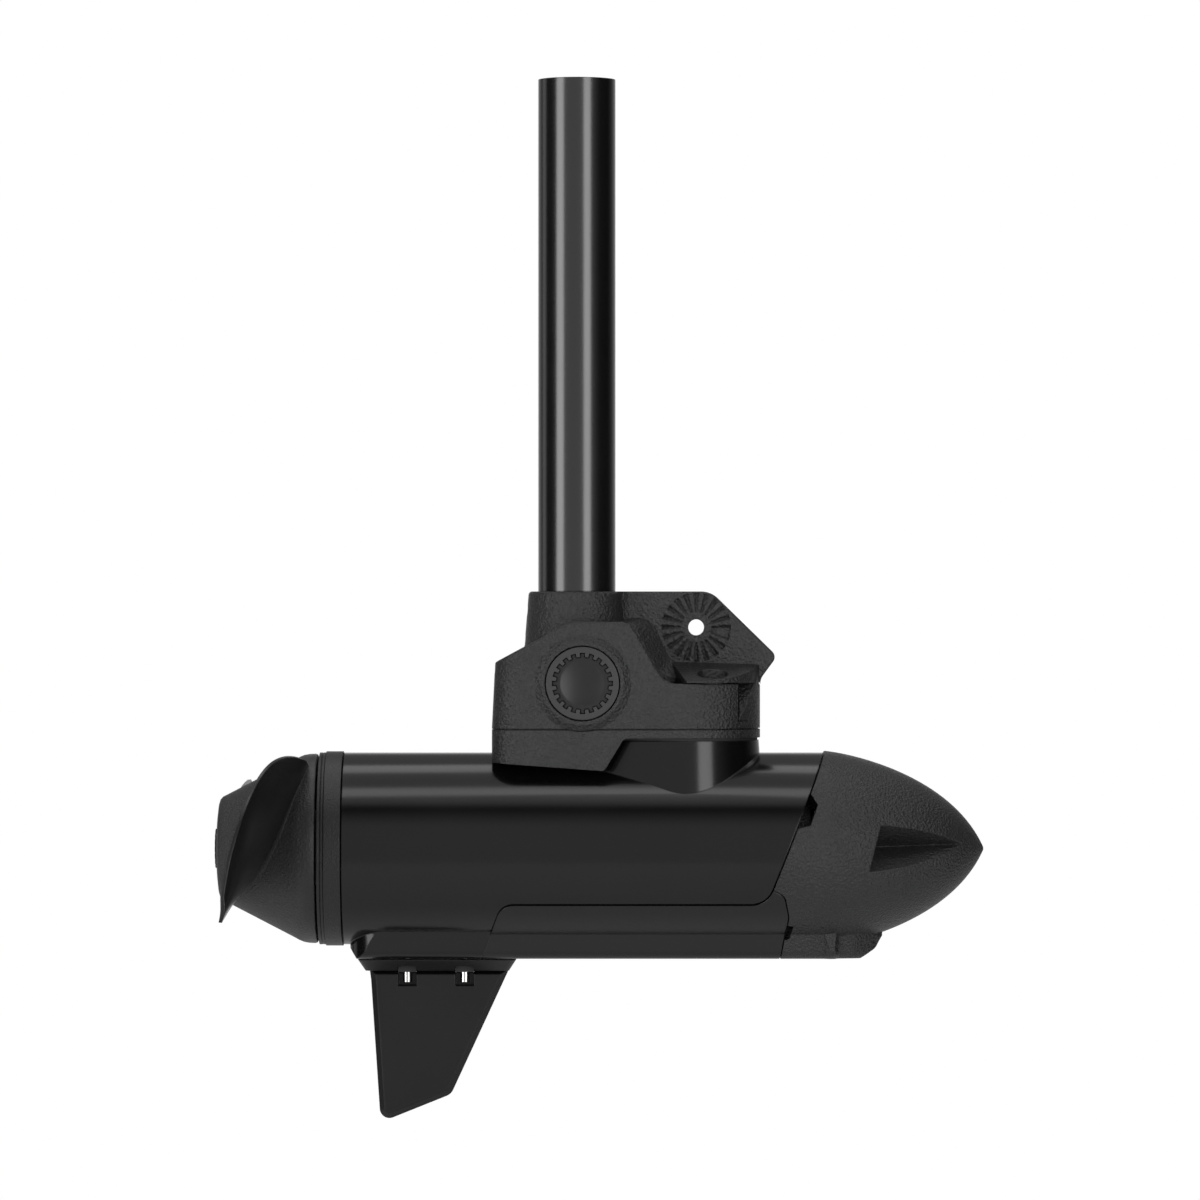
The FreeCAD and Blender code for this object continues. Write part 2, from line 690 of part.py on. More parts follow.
def yoke_base():
    """Collar under the yoke: a plate in front and a hanging skirt behind."""
    low = BASE_BOTTOM - COLLAR_FRONT_DROP - 5
    blank = plan_envelope(0, low, BASE_TOP)
    outline = [
        (YOKE_BACK - 5, BASE_BOTTOM - COLLAR_BACK_DROP + 3.2, 0),
        (COLLAR_STEP_X, BASE_BOTTOM - COLLAR_BACK_DROP - 0.5, 2.5),
        (COLLAR_STEP_X + COLLAR_RAMP, BASE_BOTTOM, 2.5),
        (YOKE_FRONT + 5, BASE_BOTTOM, 0),
        (YOKE_FRONT + 5, BASE_TOP + 1, 0),
        (YOKE_BACK - 5, BASE_TOP + 1, 0),
    ]
    body = blank.common(side_prism(outline, -BIG, BIG))
    wall = COLLAR_WALL
    hollow = bullet(YOKE_BACK + wall, YOKE_FRONT - wall, YOKE_HALF - wall, YOKE_CORNER - wall)
    body = body.cut(plan_prism(hollow, low - 1, BASE_BOTTOM))
    body = body.cut(rod_x(POD_R + COLLAR_LIFT, YOKE_BACK - 5, YOKE_FRONT))
    body = body.cut(rod_z(CABLE_R, low, BASE_TOP + 1, PIVOT_X))
    for y in (-BOLT_Y, BOLT_Y):
        body = body.cut(rod_z(BOLT_R + FIT, low, BASE_TOP + 1, BOLT_X, y))
    for y in (-BASE_SCREW_Y, BASE_SCREW_Y):
        body = body.cut(rod_z(BASE_SCREW_R + FIT, low, BASE_TOP + 1, BASE_SCREW_X, y))
    return body


def base_screws():
    screws = []
    for y in (-BASE_SCREW_Y, BASE_SCREW_Y):
        shank = rod_z(BASE_SCREW_R, BASE_BOTTOM, BASE_BOTTOM + BASE_SCREW_LENGTH, BASE_SCREW_X, y)
        head = rod_z(BASE_SCREW_HEAD_R, BASE_BOTTOM - 2.4, BASE_BOTTOM, BASE_SCREW_X, y)
        screws.append(shank.fuse(head).removeSplitter())
    return Part.makeCompound(screws)


# Pod


def egg_wire(front_r, rear_r, place):
    """Plan outline of the neck: a large front round and a smaller rear round, joined by tangents."""
    span = NECK_FRONT_X - NECK_REAR_X
    sine = (front_r - rear_r) / span
    cosine = math.sqrt(1 - sine * sine)
    front = (NECK_FRONT_X - front_r * sine, front_r * cosine)
    rear = (NECK_REAR_X - rear_r * sine, rear_r * cosine)
    edges = [
        Part.Arc(
            place(front[0], -front[1]), place(NECK_FRONT_X + front_r, 0), place(front[0], front[1])
        ).toShape(),
        Part.LineSegment(place(front[0], front[1]), place(rear[0], rear[1])).toShape(),
        Part.Arc(place(rear[0], rear[1]), place(NECK_REAR_X - rear_r, 0), place(rear[0], -rear[1])).toShape(),
        Part.LineSegment(place(rear[0], -rear[1]), place(front[0], -front[1])).toShape(),
    ]
    return Part.Wire(edges)


def neck_gasket():
    face = Part.Face(egg_wire(NECK_FRONT_R - GASKET_INSET, NECK_REAR_R - GASKET_INSET, plan_at(NECK_TOP)))
    body = face.extrude(vec(0, 0, GASKET)).cut(rod_z(CABLE_R, NECK_TOP - 1, BASE_BOTTOM + 1, PIVOT_X))
    for y in (-BOLT_Y, BOLT_Y):
        body = body.cut(rod_z(BOLT_R + FIT, NECK_TOP - 1, BASE_BOTTOM + 1, BOLT_X, y))
    return body


def neck_solid():
    low = AXIS_Z + POD_R * 0.5
    wires = [
        egg_wire(NECK_FRONT_R + NECK_FLARE, NECK_REAR_R + NECK_FLARE, plan_at(low)),
        egg_wire(NECK_FRONT_R, NECK_REAR_R, plan_at(NECK_TOP)),
    ]
    return Part.makeLoft(wires, True, True)


def nose_poles(inset):
    """Control points of the nose's side curve, from the full radius to the tip."""
    return [
        vec(OGIVE_START, 0, AXIS_Z + POD_R - inset),
        vec(OGIVE_START + NOSE_FULL, 0, AXIS_Z + POD_R - inset),
        vec(NOSE_TIP - NOSE_SLOPE_BACK, 0, AXIS_Z + NOSE_SLOPE_RISE - inset),
        vec(NOSE_TIP, 0, AXIS_Z + NOSE_TIP_R),
    ]


def nose_radius(x):
    """Radius of the nose's outside at a place along the pod."""
    curve = Part.BezierCurve()
    curve.setPoles(nose_poles(0))
    low, high = 0.0, 1.0
    for _ in range(40):
        middle = (low + high) / 2
        if curve.value(middle).x < x:
            low = middle
        else:
            high = middle
    return curve.value(low).z - AXIS_Z


def pod_blank():
    curve = Part.BezierCurve()
    curve.setPoles(nose_poles(0))
    points = [
        vec(POD_REAR, 0, AXIS_Z),
        vec(POD_REAR, 0, AXIS_Z + POD_R),
        vec(OGIVE_START, 0, AXIS_Z + POD_R),
        vec(NOSE_TIP, 0, AXIS_Z + NOSE_TIP_R),
        vec(NOSE_TIP, 0, AXIS_Z),
    ]
    edges = [
        Part.LineSegment(points[0], points[1]).toShape(),
        Part.LineSegment(points[1], points[2]).toShape(),
        curve.toShape(),
        Part.LineSegment(points[3], points[4]).toShape(),
        Part.LineSegment(points[4], points[0]).toShape(),
    ]
    face = Part.Face(Part.Wire(edges))
    return face.revolve(vec(0, 0, AXIS_Z), vec(1, 0, 0), 360)


def keel_wire(share, x):
    """Cross section of the keel: a flat foot with leaning flanks that end inside the round pod."""
    foot = KEEL_HALF * share
    top = KEEL_TOP_HALF * share
    high = KEEL_Z + KEEL_HEIGHT
    corner = KEEL_CORNER * share
    corners = [(-top, high, 0), (-foot, KEEL_Z, corner), (foot, KEEL_Z, corner), (top, high, 0)]
    return rounded_wire(corners, cross_at(x))


def keel_solid():
    """Keel with a level crease along the pod; its front narrows as the nose does and runs out in an S."""
    crease = POD_R - KEEL_CREASE
    full = math.sqrt(POD_R ** 2 - crease ** 2)
    straight = Part.Face(keel_wire(1.0, KEEL_REAR - 6)).extrude(vec(OGIVE_START - KEEL_REAR + 6, 0, 0))
    wires = []
    for i in range(8):
        x = OGIVE_START + (KEEL_TIP - OGIVE_START) * math.sin(math.pi / 2 * i / 7)
        width = math.sqrt(max(nose_radius(x) ** 2 - crease ** 2, 0)) / full
        wires.append(keel_wire(max(width, 0.2), x))
    front = Part.makeLoft(wires, True, False)
    slope = (KEEL_DEPTH + 6) * 0.68
    outline = [
        (KEEL_REAR - slope, KEEL_Z + KEEL_DEPTH + 6, 0),
        (KEEL_REAR, KEEL_Z, 0),
        (KEEL_FRONT, KEEL_Z, 1.0),
        (KEEL_FRONT + 6.3, KEEL_Z + 4.1, 5.0),
        (KEEL_TIP + 0.5, KEEL_Z + 9.8, 0),
        (KEEL_TIP + 0.5, KEEL_Z + KEEL_HEIGHT, 0),
        (KEEL_REAR - slope, KEEL_Z + KEEL_HEIGHT, 0),
    ]
    rear = KEEL_REAR - 3.0
    wide = KEEL_TOP_HALF - 2.0
    plan = [
        (rear, -wide, KEEL_REAR_ROUND),
        (NOSE_TIP, -wide, 0),
        (NOSE_TIP, wide, 0),
        (rear, wide, KEEL_REAR_ROUND),
    ]
    keel = joined([straight, front]).common(side_prism(outline, -BIG, BIG))
    return keel.common(plan_prism(plan, KEEL_Z - 1, AXIS_Z))


def split_x(z):
    """Place along the pod of the slanted seam between housing and nose at a height."""
    return SPLIT_X + SPLIT_SLOPE * (z - AXIS_Z)


def housing_region(shift):
    top = AXIS_Z + POD_R + 30
    low = AXIS_Z - TRAY_TOP
    corners = [
        (POD_REAR - 5, top, 0),
        (split_x(top) - shift, top, 0),
        (split_x(low) - shift, low, 10.0),
        (TRAY_REAR, low, 7.0),
        (TRAY_REAR - 9.6, AXIS_Z - TRAY_TOP - 26, 0),
        (POD_REAR - 5, AXIS_Z - TRAY_TOP - 26, 0),
    ]
    return side_prism(corners, -BIG, BIG)


def nose_region(shift):
    top = AXIS_Z + POD_R + 30
    shoulder = AXIS_Z - 15.5
    corners = [
        (split_x(top) + shift, top, 0),
        (split_x(shoulder) + shift, shoulder, 0),
        (TRAY_LIP_X - 1.2 + shift, shoulder - 2.6, 4.0),
        (TRAY_LIP_X + 0.7 + shift, shoulder - 11.5, 8.0),
        (TRAY_LIP_X - 3.1 + shift, KEEL_Z - 3, 0),
        (NOSE_TIP + 5, KEEL_Z - 3, 0),
        (NOSE_TIP + 5, top, 0),
    ]
    return side_prism(corners, -BIG, BIG)


def fin_studs_room():
    holes = []
    for i in range(2):
        x = STUD_REAR + STUD_PITCH * i
        holes.append(rod_z(STUD_R + FIT, KEEL_Z - 1, AXIS_Z - BORE_R - 1.5, x))
    return holes


def pod_housing(keel):
    tube_skin = rod_x(POD_R - HOUSING_STEP, POD_REAR, OGIVE_START + 2)
    shell = joined([tube_skin, keel, neck_solid()]).common(housing_region(SEAM / 2))
    tube = rod_x(TUBE_R, POD_REAR, split_x(AXIS_Z - TRAY_TOP) - 4)
    body = joined([shell, tube])
    body = body.cut(rod_x(BORE_R, POD_REAR - 1, NOSE_TIP))
    body = body.cut(rod_z(CABLE_R, AXIS_Z, NECK_TOP + 1, PIVOT_X))
    for y in (-BOLT_Y, BOLT_Y):
        body = body.cut(rod_z(BOLT_R + FIT, NECK_TOP - BOLT_GRIP - 1, NECK_TOP + 1, BOLT_X, y))
    body = body.cut(fin_studs_room())
    return body


def bottom_tray(skin):
    """Removable keel cover between the housing and the nose."""
    body = skin.common(block(TRAY_REAR - 30, KEEL_FRONT, -BIG, BIG, KEEL_Z - 3, AXIS_Z - 15))
    body = body.cut(housing_region(-SEAM / 2)).cut(nose_region(-SEAM / 2))
    body = body.cut(rod_x(TUBE_R + GAP, POD_REAR, NOSE_TIP))
    return body.cut(fin_studs_room())


def nose_side(x, height):
    """Place on the near side of the nose at a distance along the pod and a height above its axis."""
    radius = nose_radius(x)
    return vec(x, -math.sqrt(radius * radius - height * height), AXIS_Z + height)


def scoop_cutter():
    """Wedge for the pocket on the near side of the nose: two slopes that meet in a deep line."""
    apex = nose_side(SCOOP_X, 1.5) + vec(0, SCOOP_DEPTH, 0)
    tip = nose_side(SCOOP_END, 2.4) + vec(0, 0.3, 0)
    upper = nose_side(SCOOP_X + 1.6, 10.7) - apex
    lower = nose_side(SCOOP_X - 3.2, -8.3) - apex
    wires = []
    for point, size in ((apex, 1.6), (tip, 0.6)):
        wires.append(Part.makePolygon([point, point + upper * size, point + lower * size, point]))
    return Part.makeLoft(wires, True, True)


def nose_notches():
    """Pry notches in the nose's rear edge, seen from the near side."""
    upper = [
        (split_x(AXIS_Z + 24.5) - 1, AXIS_Z + 24.5, 0),
        (split_x(AXIS_Z + 19.0) + 4.6, AXIS_Z + 18.9, 0),
        (split_x(AXIS_Z + 10.5) + 4.9, AXIS_Z + 10.7, 0),
        (split_x(AXIS_Z + 9.0) - 1, AXIS_Z + 9.0, 0),
    ]
    lower = [
        (TRAY_LIP_X - 3, AXIS_Z - 29.8, 0),
        (TRAY_LIP_X + 2.6, AXIS_Z - 30.8, 0),
        (TRAY_LIP_X + 1.2, AXIS_Z - 36.0, 0),
        (TRAY_LIP_X - 3, AXIS_Z - 37.2, 0),
    ]
    return [side_prism(corners, -POD_R, -POD_R * 0.3) for corners in (upper, lower)]


def nose_cone(skin):
    body = skin.common(nose_region(SEAM / 2))
    body = body.cut(ring_x(NOTCH_ROOM_R, NOTCH_FLOOR_R, NOTCH_ROOM_REAR, NOTCH_ROOM_FRONT))
    cuts = [scoop_cutter()] + nose_notches()
    body = body.cut(cuts + [far_side(cut) for cut in cuts])
    start = split_x(AXIS_Z - TRAY_TOP) - 4 - SPIGOT + 6
    spigot = rod_x(BORE_R - FIT, start, NOTCH_ROOM_REAR)
    core = rod_x(NOTCH_FLOOR_R, NOTCH_ROOM_REAR - 1, NOTCH_ROOM_FRONT + 1)
    body = joined([body, spigot, core])
    inner = NOTCH_FLOOR_R - SPIGOT_WALL
    deep = OGIVE_START - 4
    cavity = turned_x([(start - 1, 0, 0), (start - 1, inner, 0), (deep, inner, 0), (deep + 20, 0, 0)])
    groove = ring_x(BORE_R + 1, BORE_R - 2 * ORING_R, start + 3, start + 3 + 2 * ORING_R + 0.2)
    return body.cut(cavity).cut(groove)


def nose_oring():
    start = split_x(AXIS_Z - TRAY_TOP) - 4 - SPIGOT + 6
    place = vec(start + 3.1 + ORING_R, 0, AXIS_Z)
    return Part.makeTorus(BORE_R - ORING_R - 0.02, ORING_R - 0.02, place, vec(1, 0, 0))


# Rear end


def rear_bell():
    body = rod_x(BELL_R, BELL_REAR, POD_REAR - SEAM)
    body = body.fuse(rod_x(BORE_R - FIT, POD_REAR - 1, POD_REAR + SPIGOT))
    body = body.fuse(rod_x(SEAL_BOSS_R, BELL_REAR - SEAL_BOSS, BELL_REAR + 1)).removeSplitter()
    seat = POD_REAR + SPIGOT - BEARING_WIDTH
    body = body.cut(rod_x(BEARING_R + FIT, seat, POD_REAR + SPIGOT + 1))
    body = body.cut(rod_x(SHAFT6_R + GAP, BELL_REAR - SEAL_BOSS - 1, POD_REAR + SPIGOT + 1))
    body = body.cut(rod_x(SEAL_R + FIT, BELL_REAR - SEAL_BOSS - 1, BELL_REAR - SEAL_BOSS + SEAL_LENGTH))
    groove = ring_x(BORE_R + 1, BORE_R - 2 * ORING_R, POD_REAR + 4, POD_REAR + 4 + 2 * ORING_R + 0.2)
    return body.cut(groove)


def rear_oring():
    place = vec(POD_REAR + 4.1 + ORING_R, 0, AXIS_Z)
    return Part.makeTorus(BORE_R - ORING_R - 0.02, ORING_R - 0.02, place, vec(1, 0, 0))


def rear_trim_ring():
    """Thin ring behind the bell, with a fine groove round its middle."""
    body = ring_x(TRIM_R, TRIM_IN, TRIM_REAR, BELL_REAR - 0.05)
    middle = (TRIM_REAR + BELL_REAR) / 2
    return body.cut(ring_x(TRIM_R + 1, TRIM_R - 0.4, middle - 0.2, middle + 0.2))


def shaft_seal():
    rear = BELL_REAR - SEAL_BOSS
    return ring_x(SEAL_R, SHAFT6_R + 0.05, rear, rear + SEAL_LENGTH)


def bearing(x0):
    """Ball bearing as two races with a ring of balls between them."""
    middle = (BEARING_R + SHAFT6_R) / 2
    ball = (BEARING_R - SHAFT6_R) * 0.24
    outer = ring_x(BEARING_R, middle + ball * 0.75, x0, x0 + BEARING_WIDTH)
    inner = ring_x(middle - ball * 0.75, SHAFT6_R + FIT, x0, x0 + BEARING_WIDTH)
    track = Part.makeTorus(middle, ball + 0.05, vec(x0 + BEARING_WIDTH / 2, 0, AXIS_Z), vec(1, 0, 0))
    return outer.cut(track), inner.cut(track), middle, ball


def bearing_outer(x0):
    return bearing(x0)[0]


def bearing_inner_and_balls(x0):
    outer, inner, middle, ball = bearing(x0)
    centre = vec(x0 + BEARING_WIDTH / 2, 0, AXIS_Z + middle)
    balls = ring_of(Part.makeSphere(ball, centre), 8, vec(0, 0, AXIS_Z), vec(1, 0, 0))
    return Part.makeCompound([inner] + balls)


# Motor


def stator_core():
    outer = BORE_R - FIT
    body = ring_x(outer, outer - STATOR_YOKE, STATOR_REAR, STATOR_FRONT)
    tooth = block(STATOR_REAR, STATOR_FRONT, -TOOTH_WIDTH / 2, TOOTH_WIDTH / 2,
                  AXIS_Z + STATOR_BORE + 1, AXIS_Z + outer - 1)
    shoe = block(STATOR_REAR, STATOR_FRONT, -TOOTH_WIDTH * 0.95, TOOTH_WIDTH * 0.95,
                 AXIS_Z + STATOR_BORE - 2, AXIS_Z + STATOR_BORE + 2)
    teeth = ring_of(tooth.fuse(shoe), STATOR_SLOTS, vec(0, 0, AXIS_Z), vec(1, 0, 0))
    body = body.fuse(teeth).removeSplitter()
    return body.cut(rod_x(STATOR_BORE, STATOR_REAR - 1, STATOR_FRONT + 1))


def stator_windings():
    inner = STATOR_BORE + 2.4
    outer = BORE_R - FIT - STATOR_YOKE - 0.5
    half = TOOTH_WIDTH / 2
    wire = 1.6
    over = 5.0
    x0, x1 = STATOR_REAR - over, STATOR_FRONT + over
    coil = block(x0, x1, -half - wire, half + wire, AXIS_Z + inner, AXIS_Z + outer)
    gap = block(STATOR_REAR - 0.2, STATOR_FRONT + 0.2, -half - 0.1, half + 0.1, AXIS_Z + inner - 1, AXIS_Z + outer + 1)
    return Part.makeCompound(ring_of(coil.cut(gap), STATOR_SLOTS, vec(0, 0, AXIS_Z), vec(1, 0, 0)))


def rotor_core():
    return ring_x(ROTOR_CORE_R, SHAFT6_R + FIT, STATOR_REAR, STATOR_FRONT)


def rotor_magnets():
    """Arc magnets on the rotor, with a gap between neighbours."""
    shell = ring_x(ROTOR_R, ROTOR_CORE_R + FIT, STATOR_REAR + 1, STATOR_FRONT - 1)
    half = math.pi / MAGNET_COUNT * 0.86
    reach = ROTOR_R * 1.5
    y, z = reach * math.sin(half), reach * math.cos(half)
    corners = [(0, AXIS_Z, 0), (y, AXIS_Z + z, 0), (-y, AXIS_Z + z, 0)]
    magnet = shell.common(cross_prism(corners, STATOR_REAR, STATOR_FRONT))
    return Part.makeCompound(ring_of(magnet, MAGNET_COUNT, vec(0, 0, AXIS_Z), vec(1, 0, 0)))


def prop_shaft():
    body = rod_x(SHAFT6_R, HUB_REAR + 1.0, PLATE_FRONT - 1)
    return body.cut(rod_z(DRIVE_PIN_R + FIT, AXIS_Z - BIG / 4, AXIS_Z + BIG / 4, DRIVE_PIN_X))


def front_plate():
    body = rod_x(BORE_R - FIT, PLATE_X, PLATE_FRONT)
    body = body.cut(rod_x(BEARING_R + FIT, PLATE_X - 1, PLATE_X + BEARING_WIDTH))
    return body.cut(rod_x(SHAFT6_R + GAP, PLATE_X, PLATE_FRONT - 0.8))


def post_places():
    places = []
    for i in range(4):
        angle = math.pi / 4 + math.pi / 2 * i
        places.append((BOARD_POST_CIRCLE * math.cos(angle), AXIS_Z + BOARD_POST_CIRCLE * math.sin(angle)))
    return places


def board_posts():
    return Part.makeCompound([rod_x(BOARD_POST_R, PLATE_FRONT, BOARD_X, y, z) for y, z in post_places()])


def drive_board():
    body = rod_x(BOARD_R, BOARD_X, BOARD_X + BOARD_THICK)
    for y, z in post_places():
        body = body.cut(rod_x(1.2, BOARD_X - 1, BOARD_X + BOARD_THICK + 1, y, z))
    return body


def board_parts():
    start = BOARD_X + BOARD_THICK
    cans = [rod_x(4.0, start, start + 12, y, AXIS_Z + 10) for y in (-10, 0, 10)]
    chips = [block(start, start + 2, y - 4, y + 4, AXIS_Z - 14, AXIS_Z - 6) for y in (-12, 0, 12)]
    return Part.makeCompound(cans + chips)


# Propeller


def hub_shell():
    band = HUB_FRONT - HUB_BAND
    outer = turned_x([
        (HUB_REAR - HUB_CROWN, 0, 0),
        (HUB_REAR - HUB_CROWN * 0.7, HUB_REAR_R * 0.6, 0),
        (HUB_REAR, HUB_REAR_R, 1.5),
        (band, HUB_FRONT_R, HUB_ROUND),
        (HUB_FRONT, HUB_FRONT_R, 0.5),
        (HUB_FRONT, 0, 0),
    ])
    inner = turned_x([
        (HUB_REAR + HUB_WALL + 2, 0, 0),
        (HUB_REAR + HUB_WALL + 2, HUB_REAR_R - HUB_WALL, 0),
        (band, HUB_FRONT_R - HUB_WALL, 0),
        (HUB_FRONT + 1, HUB_FRONT_R - HUB_WALL, 0),
        (HUB_FRONT + 1, 0, 0),
    ])
    return outer.cut(inner), outer, inner


# Side view of the blade at each reach: reach, leading x and height, trailing x and height.
BLADE_STATIONS = (
    (0.0, -109.0, 34.0, -140.5, -20.5),
    (25.0, -110.0, 36.8, -140.5, -21.2),
    (45.0, -115.6, 38.9, -140.5, -22.5),
    (65.0, -121.3, 37.2, -140.5, -24.0),
    (80.0, -126.4, 30.4, -140.4, -24.6),
    (91.0, -131.0, 20.0, -140.2, -25.0),
    (99.0, -136.4, 1.5, -140.0, -25.4),
    (104.0, -139.2, -15.0, -139.9, -25.1),
)
# Bow of a blade section: share of the chord, bow off the chord as a share of it, share of the thickness.
BLADE_BOW = ((0.37, 0.036, 1.0), (0.72, 0.066, 0.85), (0.9, 0.036, 0.5))


def blade_section(station):
    """Bowed section with blunt edges in the plane at a distance from the pod's axis."""
    reach, lead_x, lead_z, tail_x, tail_z = station
    thick = BLADE_THICK + (BLADE_TIP_THICK - BLADE_THICK) * reach / PROP_R
    run_x, run_z = tail_x - lead_x, tail_z - lead_z
    chord = math.hypot(run_x, run_z)
    out_x, out_z = -run_z / chord, run_x / chord
    sides = []
    for side in (1, -1):
        points = []
        for share, bow, fill in ((0.0, 0.0, 0.0),) + BLADE_BOW + ((1.0, 0.0, 0.0),):
            off = bow * chord + side * max(BLADE_EDGE, thick * fill) / 2
            x = lead_x + run_x * share + out_x * off
            z = lead_z + run_z * share + out_z * off
            points.append(vec(x, -reach, AXIS_Z + z))
        sides.append(points)
    front, back = sides[0], sides[1][::-1]
    edges = []
    for points in (front, back):
        curve = Part.BSplineCurve()
        curve.interpolate(points)
        edges.append(curve.toShape())
    ends = [Part.LineSegment(front[-1], back[0]).toShape(), Part.LineSegment(back[-1], front[0]).toShape()]
    return Part.Wire([edges[0], ends[0], edges[1], ends[1]])


def blade():
    body = Part.makeLoft([blade_section(station) for station in BLADE_STATIONS], True, False)
    return body.common(block(-BIG, HUB_FRONT - 1.0, -BIG, BIG, -BIG * 2, 0))


def propeller():
    shell, outer, inner = hub_shell()
    boss = rod_x(HUB_BOSS_R, HUB_REAR + 2, BELL_REAR - SEAL_BOSS - 1.0)
    rib = block(HUB_REAR + 4, HUB_FRONT - HUB_BAND, -HUB_RIB / 2, HUB_RIB / 2, AXIS_Z + HUB_BOSS_R - 1, AXIS_Z + HUB_FRONT_R)
    ribs = ring_of(rib, HUB_RIBS, vec(0, 0, AXIS_Z), vec(1, 0, 0))
    room = rod_x(SEAL_BOSS_R + 1.5, BELL_REAR - SEAL_BOSS - 1.0, HUB_FRONT + 1)
    web = boss.fuse([piece.common(outer) for piece in ribs]).removeSplitter().cut(room)
    near = blade().cut(inner)
    far = near.copy()
    far.rotate(vec(0, 0, AXIS_Z), vec(1, 0, 0), 180)
    body = joined([shell, web, near, far])
    body = body.cut(rod_x(SHAFT6_R + FIT, HUB_REAR - 5, HUB_FRONT + 1))
    body = body.cut(rod_x(NUT_R + 1.0, HUB_REAR - HUB_CROWN - 1, nut_seat()))
    slot_front = BELL_REAR - SEAL_BOSS
    slot = block(DRIVE_PIN_X - DRIVE_PIN_R - FIT, slot_front, -DRIVE_PIN_R - FIT, DRIVE_PIN_R + FIT,
                 AXIS_Z - DRIVE_PIN_HALF - FIT, AXIS_Z + DRIVE_PIN_HALF + FIT)
    return body.cut(slot)


def nut_seat():
    return HUB_REAR - HUB_CROWN - 0.6 + NUT_LENGTH + WASHER_THICK


def prop_washer():
    return ring_x(NUT_R, SHAFT6_R + 0.1, nut_seat() - WASHER_THICK, nut_seat())


def prop_nut():
    """Knurled nut that holds the propeller, with a closed rear face."""
    front = nut_seat() - WASHER_THICK
    body = rod_x(NUT_R - 0.6, front - NUT_LENGTH, front)
    tooth = block(front - NUT_LENGTH, front, -0.8, 0.8, AXIS_Z + NUT_R - 2, AXIS_Z + NUT_R)
    body = body.fuse(ring_of(tooth, NUT_TEETH, vec(0, 0, AXIS_Z), vec(1, 0, 0))).removeSplitter()
    return body.cut(rod_x(SHAFT6_R + FIT, HUB_REAR + 0.9, front + 1))


def drive_pin():
    return rod_z(DRIVE_PIN_R, AXIS_Z - DRIVE_PIN_HALF, AXIS_Z + DRIVE_PIN_HALF, DRIVE_PIN_X)


# Fin


def fin_outline(place):
    top = KEEL_Z - SEAM - FLANGE + 0.5
    tip = KEEL_Z - FIN_DROP
    corners = [
        (FIN_REAR - 0.6, top, 0),
        (FIN_REAR, top - 4.5, 3.0),
        (FIN_REAR + 3.9, tip - 1.4, 4.0),
        (FIN_REAR + 32.8, tip + 10.2, 5.0),
        (FLANGE_FRONT - FLANGE_TAPER, top, 0),
    ]
    return rounded_wire(corners, place)


def fin():
    """Bevelled blade under a tapered flange, with a pocket for each nut."""
    top = KEEL_Z - SEAM
    rim = fin_outline(side_at(0))
    flat = rim.makeOffset2D(-FIN_BEVEL)
    layers = []
    for wire, y in ((flat, -FIN_THICK / 2), (rim, -FIN_EDGE / 2), (rim, FIN_EDGE / 2), (flat, FIN_THICK / 2)):
        layer = wire.copy()
        layer.translate(vec(0, y, 0))
        layers.append(layer)
    blade_body = Part.makeLoft([layers[0], layers[1]], True, True)
    blade_body = blade_body.fuse(Part.Face(layers[1]).extrude(vec(0, FIN_EDGE, 0)))
    blade_body = blade_body.fuse(Part.makeLoft([layers[2], layers[3]], True, True)).removeSplitter()
    wide = [
        (FLANGE_REAR, -FLANGE_HALF, 4.0), (FLANGE_FRONT, -FLANGE_HALF, 4.0),
        (FLANGE_FRONT, FLANGE_HALF, 4.0), (FLANGE_REAR, FLANGE_HALF, 4.0),
    ]
    half = FLANGE_HALF - 6.0
    narrow = [
        (FLANGE_REAR + FLANGE_TAPER, -half, 2.0), (FLANGE_FRONT - FLANGE_TAPER, -half, 2.0),
        (FLANGE_FRONT - FLANGE_TAPER, half, 2.0), (FLANGE_REAR + FLANGE_TAPER, half, 2.0),
    ]
    flange = Part.makeLoft([rounded_wire(wide, plan_at(top)), rounded_wire(narrow, plan_at(top - FLANGE))], True, True)
    body = joined([blade_body, flange])
    for i in range(2):
        x = STUD_REAR + STUD_PITCH * i
        low = top - FLANGE + 2.0
        pocket = block(x - POCKET_WIDTH / 2, x + POCKET_WIDTH / 2, -FLANGE_HALF, BAR_NUT_DEPTH / 2 + 0.1,
                       KEEL_Z - POCKET_DROP - 1.5, low)
        body = body.cut(pocket).cut(rod_z(STUD_R + FIT, low - 1, top + 1, x))
    return body


def fin_studs():
    top = KEEL_Z - POCKET_DROP + STUD_LENGTH
    top = min(top, AXIS_Z - BORE_R - 2.0)
    return Part.makeCompound([rod_z(STUD_R, KEEL_Z - POCKET_DROP, top, STUD_REAR + STUD_PITCH * i) for i in range(2)])


def fin_nuts():
    nuts = []
    for i in range(2):
        x = STUD_REAR + STUD_PITCH * i
        top = KEEL_Z - SEAM - FLANGE + 2.0
        half = POCKET_WIDTH / 2 - 0.1
        nut = block(x - half, x + half, -BAR_NUT_DEPTH / 2, BAR_NUT_DEPTH / 2, top - BAR_NUT, top)
        nuts.append(nut.cut(rod_z(STUD_R + FIT, top - BAR_NUT - 1, top + 1, x)))
    return Part.makeCompound(nuts)


